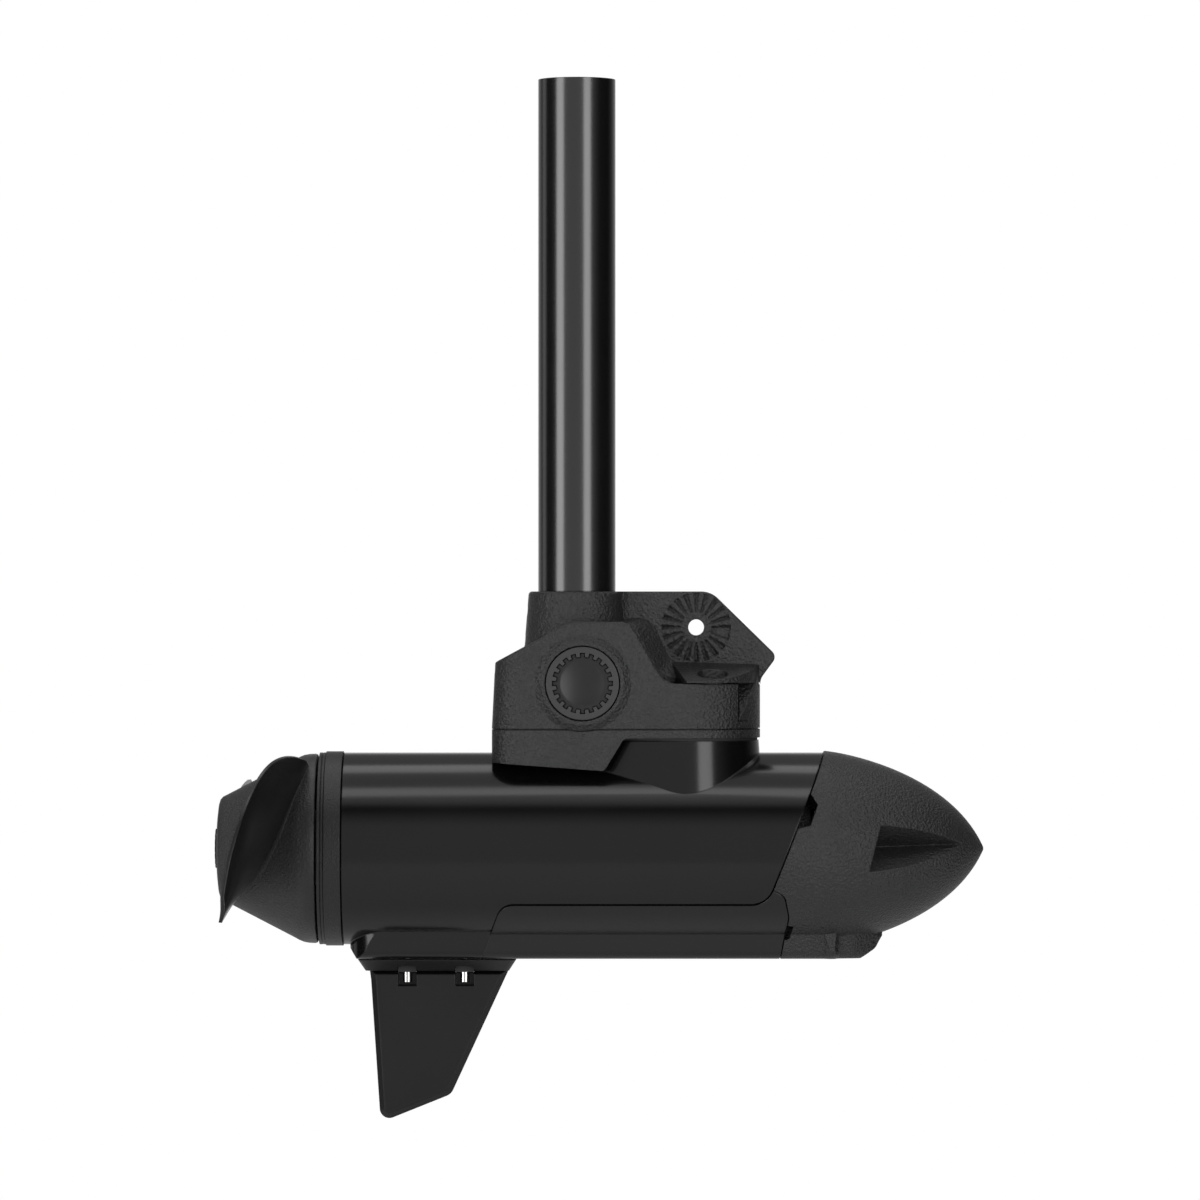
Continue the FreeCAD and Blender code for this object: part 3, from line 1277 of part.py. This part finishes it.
def main():
    keel = keel_solid()
    skin = joined([pod_blank(), keel])
    rear_seat = POD_REAR + SPIGOT - BEARING_WIDTH
    pieces = {
        "shaft_tube": shaft_tube(),
        "shaft_lock_screws": shaft_lock_screws(),
        "shaft_bracket": shaft_bracket(),
        "pivot_bushes": pivot_bushes(),
        "tilt_yoke": tilt_yoke(),
        "pivot_pins": pivot_pins(),
        "pivot_lock_rings": pivot_lock_rings(),
        "pivot_caps": pivot_caps(),
        "yoke_bolts": yoke_bolts(),
        "yoke_base": yoke_base(),
        "base_screws": base_screws(),
        "neck_gasket": neck_gasket(),
        "pod_housing": pod_housing(keel),
        "bottom_tray": bottom_tray(skin),
        "nose_cone": nose_cone(skin),
        "nose_oring": nose_oring(),
        "rear_bell": rear_bell(),
        "rear_oring": rear_oring(),
        "rear_trim_ring": rear_trim_ring(),
        "shaft_seal": shaft_seal(),
        "rear_bearing_outer": bearing_outer(rear_seat),
        "rear_bearing_inner": bearing_inner_and_balls(rear_seat),
        "front_bearing_outer": bearing_outer(PLATE_X),
        "front_bearing_inner": bearing_inner_and_balls(PLATE_X),
        "stator_core": stator_core(),
        "stator_windings": stator_windings(),
        "rotor_core": rotor_core(),
        "rotor_magnets": rotor_magnets(),
        "prop_shaft": prop_shaft(),
        "front_plate": front_plate(),
        "board_posts": board_posts(),
        "drive_board": drive_board(),
        "board_parts": board_parts(),
        "propeller": propeller(),
        "drive_pin": drive_pin(),
        "prop_washer": prop_washer(),
        "prop_nut": prop_nut(),
        "fin": fin(),
        "fin_studs": fin_studs(),
        "fin_nuts": fin_nuts(),
    }
    os.makedirs("parts", exist_ok=True)
    for name, shape in pieces.items():
        print(name, shape.isValid(), len(shape.Solids), round(shape.Volume))
        shape.exportStep("parts/" + name + ".step")


main()
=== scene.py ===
import math

import bmesh
import bpy
from mathutils import Matrix, Vector

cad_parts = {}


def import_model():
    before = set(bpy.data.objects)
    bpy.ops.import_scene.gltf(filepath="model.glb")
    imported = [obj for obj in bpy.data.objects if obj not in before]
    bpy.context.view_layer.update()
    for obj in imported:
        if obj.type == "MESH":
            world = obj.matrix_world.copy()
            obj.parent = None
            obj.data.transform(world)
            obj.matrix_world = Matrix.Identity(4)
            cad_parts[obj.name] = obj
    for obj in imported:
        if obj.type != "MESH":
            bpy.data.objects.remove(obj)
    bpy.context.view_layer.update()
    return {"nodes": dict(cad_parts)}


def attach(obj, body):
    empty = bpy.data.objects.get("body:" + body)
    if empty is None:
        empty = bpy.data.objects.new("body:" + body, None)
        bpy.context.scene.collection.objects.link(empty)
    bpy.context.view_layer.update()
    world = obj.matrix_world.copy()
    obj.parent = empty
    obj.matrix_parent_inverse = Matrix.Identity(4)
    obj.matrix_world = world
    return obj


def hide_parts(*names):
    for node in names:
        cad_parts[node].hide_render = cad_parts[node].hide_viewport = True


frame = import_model()
nodes = frame["nodes"]

# Camera: a long lens that looks level across the side of the motor
CAMERA_AT = (0.0095, -2.54, -0.2132)
SENSOR = 36.0
VIEW_WIDTH = 0.492
LENS = SENSOR * -CAMERA_AT[1] / VIEW_WIDTH

# Middle of the object, where the lamps point
MIDDLE = Vector((0.0095, 0.0, -0.2132))
AXIS_Z = -0.315  # height of the propeller's spin axis
HUB_RADIUS = 0.0385
FLOOR_Z = -0.62
FLOOR_HALF = 1.2
MM = 1000  # millimetres in a metre

# Room: strength by angle in degrees around the long axis, 0 in front, 90 overhead, 180 behind
ROOM_STOPS = (
    (-180, 0.3), (-90, 0.5), (-30, 0.45), (30, 0.45), (42, 0.2), (49, 0.02), (53, 0.02), (58, 0.5),
    (66, 0.6), (84, 0.5), (98, 0.5), (130, 0.25), (150, 0.15), (180, 0.3),
)
LIGHT_LEVEL = 1.25  # at which a plain grey card facing the camera renders about as it is written
ROOM_SIDE = 0.06  # share of the room's strength that is left at its two ends
# Reflections see the white backdrop where their direction's Y rises from the first value to the second
BEHIND_FROM = 0.93
BEHIND_TO = 0.995

# Soft boxes: name, azimuth and elevation in degrees, distance, width and height in metres, watts
LAMPS = (
    ("soft_left", -51.0, 4.0, 1.6, 0.65, 1.3, 8.0),
    ("soft_right", 31.0, 4.0, 1.6, 0.6, 1.3, 6.6),
    ("soft_top_front", 0.0, 71.0, 1.5, 1.9, 0.34, 3.0),
    ("soft_top_back", 180.0, 67.0, 1.5, 1.7, 0.42, 2.6),
    ("soft_back_left", -112.0, 6.0, 1.7, 0.5, 1.2, 0.7),
)

EDGE = 0.0007  # radius over which the shading of an edge is softened


# Node helpers


class Nodes:
    """Short calls for adding and linking the nodes of one tree."""

    def __init__(self, tree):
        self.tree = tree
        tree.nodes.clear()

    def add(self, kind, **values):
        node = self.tree.nodes.new(kind)
        for name, value in values.items():
            setattr(node, name, value)
        return node

    def link(self, out, into):
        self.tree.links.new(out, into)

    def math(self, operation, a, b=None, clamp=False):
        node = self.add("ShaderNodeMath", operation=operation, use_clamp=clamp)
        for socket, value in zip(node.inputs, (a, b)):
            if value is None:
                continue
            if isinstance(value, (int, float)):
                socket.default_value = value
            else:
                self.link(value, socket)
        return node.outputs[0]

    def place(self):
        return self.add("ShaderNodeTexCoord").outputs["Object"]

    def noise(self, place, scale, detail=2.0, rough=0.5):
        node = self.add("ShaderNodeTexNoise")
        node.inputs["Scale"].default_value = scale
        node.inputs["Detail"].default_value = detail
        node.inputs["Roughness"].default_value = rough
        self.link(place, node.inputs["Vector"])
        return node.outputs["Fac"]

    def cells(self, place, scale, feature="F1"):
        node = self.add("ShaderNodeTexVoronoi", feature=feature)
        node.inputs["Scale"].default_value = scale
        self.link(place, node.inputs["Vector"])
        return node.outputs["Distance"]

    def ramp(self, value, low, high, from_low=0.0, from_high=1.0):
        node = self.add("ShaderNodeMapRange")
        for name, number in (
            ("From Min", from_low), ("From Max", from_high), ("To Min", low), ("To Max", high),
        ):
            node.inputs[name].default_value = number
        self.link(value, node.inputs["Value"])
        return node.outputs["Result"]

    def mix(self, factor, first, second):
        node = self.add("ShaderNodeMix", data_type="RGBA")
        for socket, colour in ((node.inputs[6], first), (node.inputs[7], second)):
            if isinstance(colour, tuple):
                socket.default_value = colour + (1.0,)
            else:
                self.link(colour, socket)
        self.link(factor, node.inputs[0])
        return node.outputs[2]

    def soft_edges(self, radius):
        """Normals that turn round sharp edges, so that moulded edges catch a thin line of light."""
        node = self.add("ShaderNodeBevel", samples=6)
        node.inputs["Radius"].default_value = radius
        return node.outputs["Normal"]

    def bump(self, height, strength, distance, before=None):
        node = self.add("ShaderNodeBump")
        node.inputs["Strength"].default_value = strength
        node.inputs["Distance"].default_value = distance
        self.link(height, node.inputs["Height"])
        if before is not None:
            self.link(before, node.inputs["Normal"])
        return node.outputs["Normal"]


def material(name):
    made = bpy.data.materials.new(name)
    made.use_nodes = True
    graph = Nodes(made.node_tree)
    shader = graph.add("ShaderNodeBsdfPrincipled")
    out = graph.add("ShaderNodeOutputMaterial")
    graph.link(shader.outputs[0], out.inputs["Surface"])
    return made, graph, shader.inputs


def smooth_black(name, dark, light, rough, coat=0.0, coat_rough=0.05, specular=0.5):
    """Even black finish with faint cloudy variation in colour and gloss."""
    made, graph, socket = material(name)
    place = graph.place()
    cloud = graph.noise(place, 35.0, 3.0)
    fine = graph.noise(place, 900.0, 2.0)
    graph.link(graph.mix(cloud, dark, light), socket["Base Color"])
    graph.link(graph.ramp(cloud, rough * 0.85, rough * 1.15), socket["Roughness"])
    graph.link(graph.bump(fine, 0.04, 0.0001, graph.soft_edges(EDGE)), socket["Normal"])
    socket["Coat Weight"].default_value = coat
    socket["Coat Roughness"].default_value = coat_rough
    socket["Specular IOR Level"].default_value = specular
    return made


def grained_black(name, dark, light, rough, scale=900.0, strength=0.6):
    """Moulded plastic with a fine leather-like grain."""
    made, graph, socket = material(name)
    place = graph.place()
    cloud = graph.noise(place, 40.0, 2.0)
    pebble = graph.cells(place, scale, "SMOOTH_F1")
    fine = graph.noise(place, scale * 1.7, 3.0, 0.6)
    height = graph.math("ADD", graph.math("MULTIPLY", pebble, 0.8), graph.math("MULTIPLY", fine, 0.5))
    tone = graph.math("MULTIPLY", height, cloud, True)
    graph.link(graph.mix(tone, dark, light), socket["Base Color"])
    graph.link(graph.ramp(fine, rough * 0.85, rough * 1.2), socket["Roughness"])
    graph.link(graph.bump(height, strength, 0.0006, graph.soft_edges(EDGE)), socket["Normal"])
    return made


def propeller_black(name, hub_dark, hub_light, blade_dark, blade_light, radius):
    """Grained hub that turns into smooth blades at a radius from the spin axis."""
    made, graph, socket = material(name)
    place = graph.place()
    split = graph.add("ShaderNodeSeparateXYZ")
    graph.link(place, split.inputs[0])
    across = graph.math("MULTIPLY", split.outputs["Y"], split.outputs["Y"])
    over = graph.math("ADD", split.outputs["Z"], -AXIS_Z)
    away = graph.math("SQRT", graph.math("ADD", across, graph.math("MULTIPLY", over, over)))
    blade = graph.ramp(away, 0.0, 1.0, radius - 0.0006, radius + 0.0006)
    pebble = graph.cells(place, 1200.0, "SMOOTH_F1")
    fine = graph.noise(place, 2100.0, 3.0, 0.6)
    cloud = graph.noise(place, 40.0, 2.0)
    grain = graph.math("MULTIPLY", graph.math("ADD", pebble, fine), cloud, True)
    hub = graph.mix(grain, hub_dark, hub_light)
    smooth = graph.mix(cloud, blade_dark, blade_light)
    graph.link(graph.mix(blade, hub, smooth), socket["Base Color"])
    graph.link(graph.ramp(blade, 0.48, 0.3), socket["Roughness"])
    depth = graph.math("MULTIPLY", graph.math("ADD", pebble, fine), graph.ramp(blade, 1.0, 0.08))
    graph.link(graph.bump(depth, 0.7, 0.0005, graph.soft_edges(EDGE)), socket["Normal"])
    return made


def metal(name, colour, other, rough, scale, stretch=(1.0, 1.0, 1.0), strength=0.05):
    """Metal with fine machining marks stretched along one direction."""
    made, graph, socket = material(name)
    mapping = graph.add("ShaderNodeMapping")
    mapping.inputs["Scale"].default_value = stretch
    graph.link(graph.place(), mapping.inputs["Vector"])
    marks = graph.noise(mapping.outputs[0], scale, 3.0)
    graph.link(graph.mix(marks, colour, other), socket["Base Color"])
    graph.link(graph.ramp(marks, rough * 0.7, rough * 1.3), socket["Roughness"])
    graph.link(graph.bump(marks, strength, 0.0001), socket["Normal"])
    socket["Metallic"].default_value = 1.0
    return made


def plain(name, colour, other, rough, scale=500.0):
    """Plain coloured surface with a little mottling and unevenness."""
    made, graph, socket = material(name)
    mottle = graph.noise(graph.place(), scale, 3.0)
    graph.link(graph.mix(mottle, colour, other), socket["Base Color"])
    graph.link(graph.ramp(mottle, rough * 0.85, rough * 1.15), socket["Roughness"])
    graph.link(graph.bump(mottle, 0.1, 0.0001), socket["Normal"])
    return made


def grey(value):
    return (value, value, value * 1.04)


shaft_black = smooth_black("shaft_black", grey(0.0015), grey(0.003), 0.24, 1.0, 0.18)
pod_black = smooth_black("pod_black", grey(0.002), grey(0.0035), 0.17, specular=0.45)
bell_black = grained_black("bell_black", grey(0.005), grey(0.013), 0.42, 1400.0, 0.3)
bracket_black = grained_black("bracket_black", grey(0.009), grey(0.028), 0.36, 950.0, 1.0)
nose_black = grained_black("nose_black", grey(0.009), grey(0.024), 0.38, 1050.0, 1.0)
tray_black = smooth_black("tray_black", grey(0.002), grey(0.0035), 0.3)
blade_black = propeller_black("blade_black", grey(0.012), grey(0.034), grey(0.005), grey(0.008), HUB_RADIUS)
fin_black = smooth_black("fin_black", grey(0.002), grey(0.004), 0.36, specular=0.4)
ring_black = smooth_black("ring_black", grey(0.03), grey(0.042), 0.45)
cap_black = smooth_black("cap_black", grey(0.006), grey(0.010), 0.35)
bright_steel = metal("bright_steel", (0.62, 0.62, 0.61), (0.74, 0.74, 0.73), 0.22, 900.0)
core_steel = metal("core_steel", (0.30, 0.31, 0.33), (0.42, 0.43, 0.45), 0.4, 1800.0, (9.0, 1.0, 1.0))
bronze = metal("bronze", (0.42, 0.27, 0.12), (0.55, 0.36, 0.17), 0.35, 1200.0)
nickel = metal("nickel", (0.45, 0.44, 0.42), (0.55, 0.54, 0.51), 0.25, 700.0)
cast_alloy = metal("cast_alloy", (0.50, 0.50, 0.51), (0.60, 0.60, 0.61), 0.42, 1500.0)
seal_rubber = plain("seal_rubber", (0.012, 0.012, 0.012), (0.022, 0.022, 0.022), 0.65)
wire_enamel = plain("wire_enamel", (0.33, 0.09, 0.03), (0.46, 0.15, 0.05), 0.3, 1600.0)
board_green = plain("board_green", (0.01, 0.075, 0.03), (0.018, 0.11, 0.045), 0.3, 300.0)
part_black = plain("part_black", (0.015, 0.015, 0.016), (0.03, 0.03, 0.03), 0.5)

LOOKS = {
    "shaft_tube": shaft_black,
    "shaft_lock_screws": bright_steel,
    "shaft_bracket": bracket_black,
    "pivot_bushes": bronze,
    "tilt_yoke": bracket_black,
    "pivot_pins": bright_steel,
    "pivot_lock_rings": ring_black,
    "pivot_caps": cap_black,
    "yoke_bolts": bright_steel,
    "yoke_base": bracket_black,
    "base_screws": bright_steel,
    "neck_gasket": seal_rubber,
    "pod_housing": pod_black,
    "bottom_tray": tray_black,
    "nose_cone": nose_black,
    "nose_oring": seal_rubber,
    "rear_bell": bell_black,
    "rear_oring": seal_rubber,
    "rear_trim_ring": bell_black,
    "shaft_seal": seal_rubber,
    "rear_bearing_outer": bright_steel,
    "rear_bearing_inner": bright_steel,
    "front_bearing_outer": bright_steel,
    "front_bearing_inner": bright_steel,
    "stator_core": core_steel,
    "stator_windings": wire_enamel,
    "rotor_core": core_steel,
    "rotor_magnets": nickel,
    "prop_shaft": bright_steel,
    "front_plate": cast_alloy,
    "board_posts": bright_steel,
    "drive_board": board_green,
    "board_parts": part_black,
    "propeller": blade_black,
    "drive_pin": bright_steel,
    "prop_washer": bright_steel,
    "prop_nut": bell_black,
    "fin": fin_black,
    "fin_studs": bright_steel,
    "fin_nuts": part_black,
}

for name, look in LOOKS.items():
    mesh = nodes[name].data
    mesh.materials.clear()
    mesh.materials.append(look)


# Pieces made here in place of CAD nodes, and small moulded forms beside them


def new_piece(name, form, look, body, replaced=()):
    mesh = bpy.data.meshes.new(name)
    bmesh.ops.recalc_face_normals(form, faces=form.faces)
    form.to_mesh(mesh)
    form.free()
    mesh.materials.append(look)
    for face in mesh.polygons:
        face.use_smooth = True
    mesh.set_sharp_from_angle(angle=math.radians(35))
    made = bpy.data.objects.new(name, mesh)
    bpy.context.scene.collection.objects.link(made)
    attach(made, body)
    if replaced:
        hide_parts(*replaced)
    return made


# Hub outline from the nut's pocket round the outside and back through the hollow: x and radius in mm
HUB_PROFILE = (
    (-141.2, 9.0), (-147.0, 9.0), (-147.1, 11.0), (-146.9, 14.5), (-146.4, 18.6), (-145.9, 20.2),
    (-145.0, 21.2), (-143.6, 21.9), (-115.6, 36.4), (-113.6, 37.5), (-111.6, 38.3), (-109.4, 38.7),
    (-107.0, 38.8), (-106.3, 38.6), (-106.0, 38.2), (-106.0, 35.8), (-110.8, 35.6), (-138.0, 20.0),
    (-141.0, 17.6), (-141.0, 12.0), (-125.6, 12.0), (-125.6, 6.1), (-141.2, 6.1),
)
HUB_STEPS = 96

# Side view of the blade: reach from the axis, leading x and height, trailing x and height, in mm
BLADE_STATIONS = (
    (14.0, -109.5, 33.6, -140.5, -20.8), (25.0, -110.2, 36.6, -140.5, -21.2),
    (35.0, -112.8, 38.2, -140.5, -21.8), (45.0, -115.7, 38.8, -140.5, -22.5),
    (55.0, -118.5, 38.4, -140.5, -23.2), (65.0, -121.4, 36.8, -140.5, -23.9),
    (74.0, -124.3, 33.6, -140.4, -24.4), (82.0, -127.2, 28.6, -140.3, -24.8),
    (89.0, -130.2, 21.6, -140.2, -25.0), (95.0, -133.4, 12.0, -140.1, -25.2),
    (100.0, -136.8, -1.0, -140.0, -25.3), (103.9, -139.2, -15.0, -139.9, -25.1),
)
BLADE_THICK = 6.0  # at the axis, in mm as the next two
BLADE_TIP_THICK = 1.8
BLADE_EDGE = 1.2
BLADE_BOW = 0.066  # share of the blade's width
BLADE_STEPS = 20
BLADE_REACH = 104.0
BETWEEN_STATIONS = 4

# Plates on level faces: height of the face, step in from its outline and rise, in metres
LIP = (-0.2660, 0.0008, 0.00045)
GASKET = (-0.2704, 0.0006, 0.00095)

# Notch floors: outline as x and z, and near and far y, in mm
UPPER_NOTCH = (((88.5, -298.5), (97.5, -298.5), (99.0, -288.0), (90.0, -288.0)), -16.0, -14.5)
LOWER_NOTCH = (((81.0, -353.5), (88.5, -353.5), (89.5, -343.0), (82.5, -343.0)), -14.5, -13.0)


def grid_skin(form, rings, closed=True):
    """Quads between neighbouring rings of points."""
    made = [[form.verts.new(point) for point in ring] for ring in rings]
    count = len(rings[0])
    for first, second in zip(made, made[1:] + (made[:1] if closed else [])):
        for k in range(count):
            following = (k + 1) % count
            form.faces.new((first[k], first[following], second[following], second[k]))
    return made


def blade_ring(station):
    """Bowed section of the blade at one reach, thick in the middle and blunt at both edges."""
    reach, lead_x, lead_z, tail_x, tail_z = station
    thick = BLADE_THICK + (BLADE_TIP_THICK - BLADE_THICK) * reach / BLADE_REACH
    run_x, run_z = tail_x - lead_x, tail_z - lead_z
    chord = math.hypot(run_x, run_z)
    sides = []
    for side in (1, -1):
        points = []
        for k in range(BLADE_STEPS + 1):
            share = (1 - math.cos(math.pi * k / BLADE_STEPS)) / 2
            bow = BLADE_BOW * chord * math.sin(math.pi * share ** 1.15)
            half = BLADE_EDGE / 2 + (thick - BLADE_EDGE) / 2 * math.sin(math.pi * share) ** 0.8
            off = bow + side * half
            x = lead_x + run_x * share - run_z / chord * off
            z = lead_z + run_z * share + run_x / chord * off
            points.append(Vector((x, -reach, z + AXIS_Z * MM)) / MM)
        sides.append(points)
    return sides[0] + sides[1][::-1]


def smooth_stations(stations, between):
    """Extra stations on a smooth curve through the given ones."""
    made = []
    for k in range(len(stations) - 1):
        around = [stations[min(max(n, 0), len(stations) - 1)] for n in (k - 1, k, k + 1, k + 2)]
        for step in range(between):
            t = step / between
            weights = (
                (-t + 2 * t ** 2 - t ** 3) / 2, (2 - 5 * t ** 2 + 3 * t ** 3) / 2,
                (t + 4 * t ** 2 - 3 * t ** 3) / 2, (t ** 3 - t ** 2) / 2,
            )
            made.append(tuple(sum(w * point[n] for w, point in zip(weights, around)) for n in range(5)))
    return made + [stations[-1]]


def propeller():
    """Hollow hub turned about the spin axis, with two bowed blades."""
    form = bmesh.new()
    rings = []
    for k in range(HUB_STEPS):
        turn = 2 * math.pi * k / HUB_STEPS
        ring = []
        for x, r in HUB_PROFILE:
            ring.append(Vector((x, r * math.sin(turn), AXIS_Z * MM + r * math.cos(turn))) / MM)
        rings.append(ring)
    grid_skin(form, rings)
    near = [blade_ring(station) for station in smooth_stations(BLADE_STATIONS, BETWEEN_STATIONS)]
    half_turn = Matrix.Rotation(math.pi, 4, "X")
    axis = Vector((0, 0, AXIS_Z))
    far = [[half_turn @ (point - axis) + axis for point in ring] for ring in near]
    for blade in (near, far):
        made = grid_skin(form, blade, closed=False)
        form.faces.new(made[0])
        form.faces.new(made[-1][::-1])
    return new_piece("propeller_turned", form, blade_black, "prop", ("propeller",))


def plate_on(name, node, level, inset, height, look, body, slot, replaced=()):
    """Plate that grows from a level face of a CAD node, a little inside its outline and round its holes."""
    form = bmesh.new()
    form.from_mesh(nodes[node].data)
    for face in form.faces:
        face.normal_update()
    flat = [f for f in form.faces if f.normal.z > 0.99 and all(abs(v.co.z - level) < 2e-5 for v in f.verts)]
    bmesh.ops.delete(form, geom=list(set(form.faces) - set(flat)), context="FACES")
    bmesh.ops.remove_doubles(form, verts=form.verts, dist=2e-6)
    rim = bmesh.ops.inset_region(
        form, faces=form.faces, thickness=inset, use_boundary=True, use_even_offset=True,
    )
    bmesh.ops.delete(form, geom=rim["faces"], context="FACES")
    foot = list(form.faces)
    top = bmesh.ops.extrude_face_region(form, geom=foot, use_keep_orig=True)
    raised = [item for item in top["geom"] if isinstance(item, bmesh.types.BMVert)]
    bmesh.ops.translate(form, verts=raised, vec=(0, 0, height))
    # The extrusion adds its walls in an order that changes from run to run, so all are put in one order
    form.verts.index_update()
    for row in (form.edges, form.faces):
        ordered = sorted(row, key=lambda item: sorted(vert.index for vert in item.verts))
        for index, item in enumerate(ordered):
            item.index = index
        row.sort()
    return new_piece(name, form, look, body, replaced)


def notch_floor(name, corners, near_y, far_y):
    """Moulded floor of a pry notch in the nose, from its outline seen from the side."""
    form = bmesh.new()
    rings = [[Vector((x, y, z)) / MM for x, z in corners] for y in (near_y, far_y)]
    made = grid_skin(form, rings, closed=False)
    form.faces.new(made[0])
    form.faces.new(made[1][::-1])
    return new_piece(name, form, nose_black, "pod")


propeller()
plate_on("yoke_lip", "yoke_base", *LIP, bracket_black, "pod", "bracket")
plate_on(
    "neck_gasket_wide", "pod_housing", *GASKET, seal_rubber, "pod", "seal_rubber", ("neck_gasket",),
)
notch_floor("upper_notch_floor", *UPPER_NOTCH)
notch_floor("lower_notch_floor", *LOWER_NOTCH)


# Floor, lamps and world


def floor():
    mesh = bpy.data.meshes.new("floor")
    half = FLOOR_HALF
    corners = [(x, y, FLOOR_Z) for x, y in ((-half, -half), (half, -half), (half, half), (-half, half))]
    mesh.from_pydata(corners, [], [(0, 1, 2, 3)])
    plane = bpy.data.objects.new("floor", mesh)
    bpy.context.scene.collection.objects.link(plane)
    mesh.materials.append(plain("floor_white", (0.84, 0.84, 0.84), (0.87, 0.87, 0.87), 0.8, 3.0))


def lamp(name, azimuth, elevation, away, width, height, watts):
    """Soft box that faces the object from a direction given in degrees."""
    light = bpy.data.lights.new(name, "AREA")
    light.shape = "RECTANGLE"
    light.size = width
    light.size_y = height
    light.energy = watts * LIGHT_LEVEL
    made = bpy.data.objects.new(name, light)
    a, e = math.radians(azimuth), math.radians(elevation)
    towards = Vector((math.sin(a) * math.cos(e), -math.cos(a) * math.cos(e), math.sin(e)))
    made.location = MIDDLE + towards * away
    made.rotation_mode = "QUATERNION"
    made.rotation_quaternion = towards.to_track_quat("Z", "Y")
    made.visible_camera = False
    bpy.context.scene.collection.objects.link(made)


def world():
    """White past the object and, in reflections, straight behind it. A dim grey room for all other rays."""
    made = bpy.data.worlds.new("studio")
    bpy.context.scene.world = made
    made.use_nodes = True
    graph = Nodes(made.node_tree)
    path = graph.add("ShaderNodeLightPath")
    split = graph.add("ShaderNodeSeparateXYZ")
    graph.link(graph.add("ShaderNodeTexCoord").outputs["Generated"], split.inputs[0])
    front = graph.math("MULTIPLY", split.outputs["Y"], -1.0)
    angle = graph.math("ARCTAN2", split.outputs["Z"], front)
    strip = graph.add("ShaderNodeValToRGB")
    element = strip.color_ramp.elements
    for end, (degrees, value) in ((element[0], ROOM_STOPS[0]), (element[1], ROOM_STOPS[-1])):
        end.position, end.color = (degrees + 180) / 360, (value, value, value, 1.0)
    for degrees, value in ROOM_STOPS[1:-1]:
        element.new((degrees + 180) / 360).color = (value, value, value, 1.0)
    graph.link(graph.ramp(angle, 0.0, 1.0, -math.pi, math.pi), strip.inputs[0])
    aside = graph.math("ABSOLUTE", split.outputs["X"])
    fade = graph.ramp(aside, LIGHT_LEVEL, ROOM_SIDE * LIGHT_LEVEL, 0.45, 0.95)
    room = graph.math("MULTIPLY", strip.outputs[0], fade)
    behind = graph.ramp(split.outputs["Y"], 0.0, 1.0, BEHIND_FROM, BEHIND_TO)
    bounced = graph.math("MAXIMUM", path.outputs["Is Glossy Ray"], path.outputs["Is Transmission Ray"])
    shown = graph.math("MULTIPLY", bounced, behind)
    white = graph.math("MAXIMUM", path.outputs["Is Camera Ray"], shown)
    strength = graph.add("ShaderNodeMix", data_type="FLOAT")
    graph.link(white, strength.inputs[0])
    graph.link(room, strength.inputs[2])
    strength.inputs[3].default_value = 1.0
    back = graph.add("ShaderNodeBackground")
    back.inputs["Color"].default_value = (1.0, 1.0, 1.0, 1.0)
    graph.link(strength.outputs[0], back.inputs["Strength"])
    out = graph.add("ShaderNodeOutputWorld")
    graph.link(back.outputs[0], out.inputs["Surface"])


floor()
for values in LAMPS:
    lamp(*values)
world()


def camera():
    data = bpy.data.cameras.new("camera")
    data.sensor_width = SENSOR
    data.lens = LENS
    data.clip_start = 0.1
    data.clip_end = 50.0
    made = bpy.data.objects.new("camera", data)
    made.location = CAMERA_AT
    made.rotation_euler = (math.pi / 2, 0.0, 0.0)
    bpy.context.scene.collection.objects.link(made)
    bpy.context.scene.camera = made


camera()
bpy.context.scene.view_settings.view_transform = "Standard"
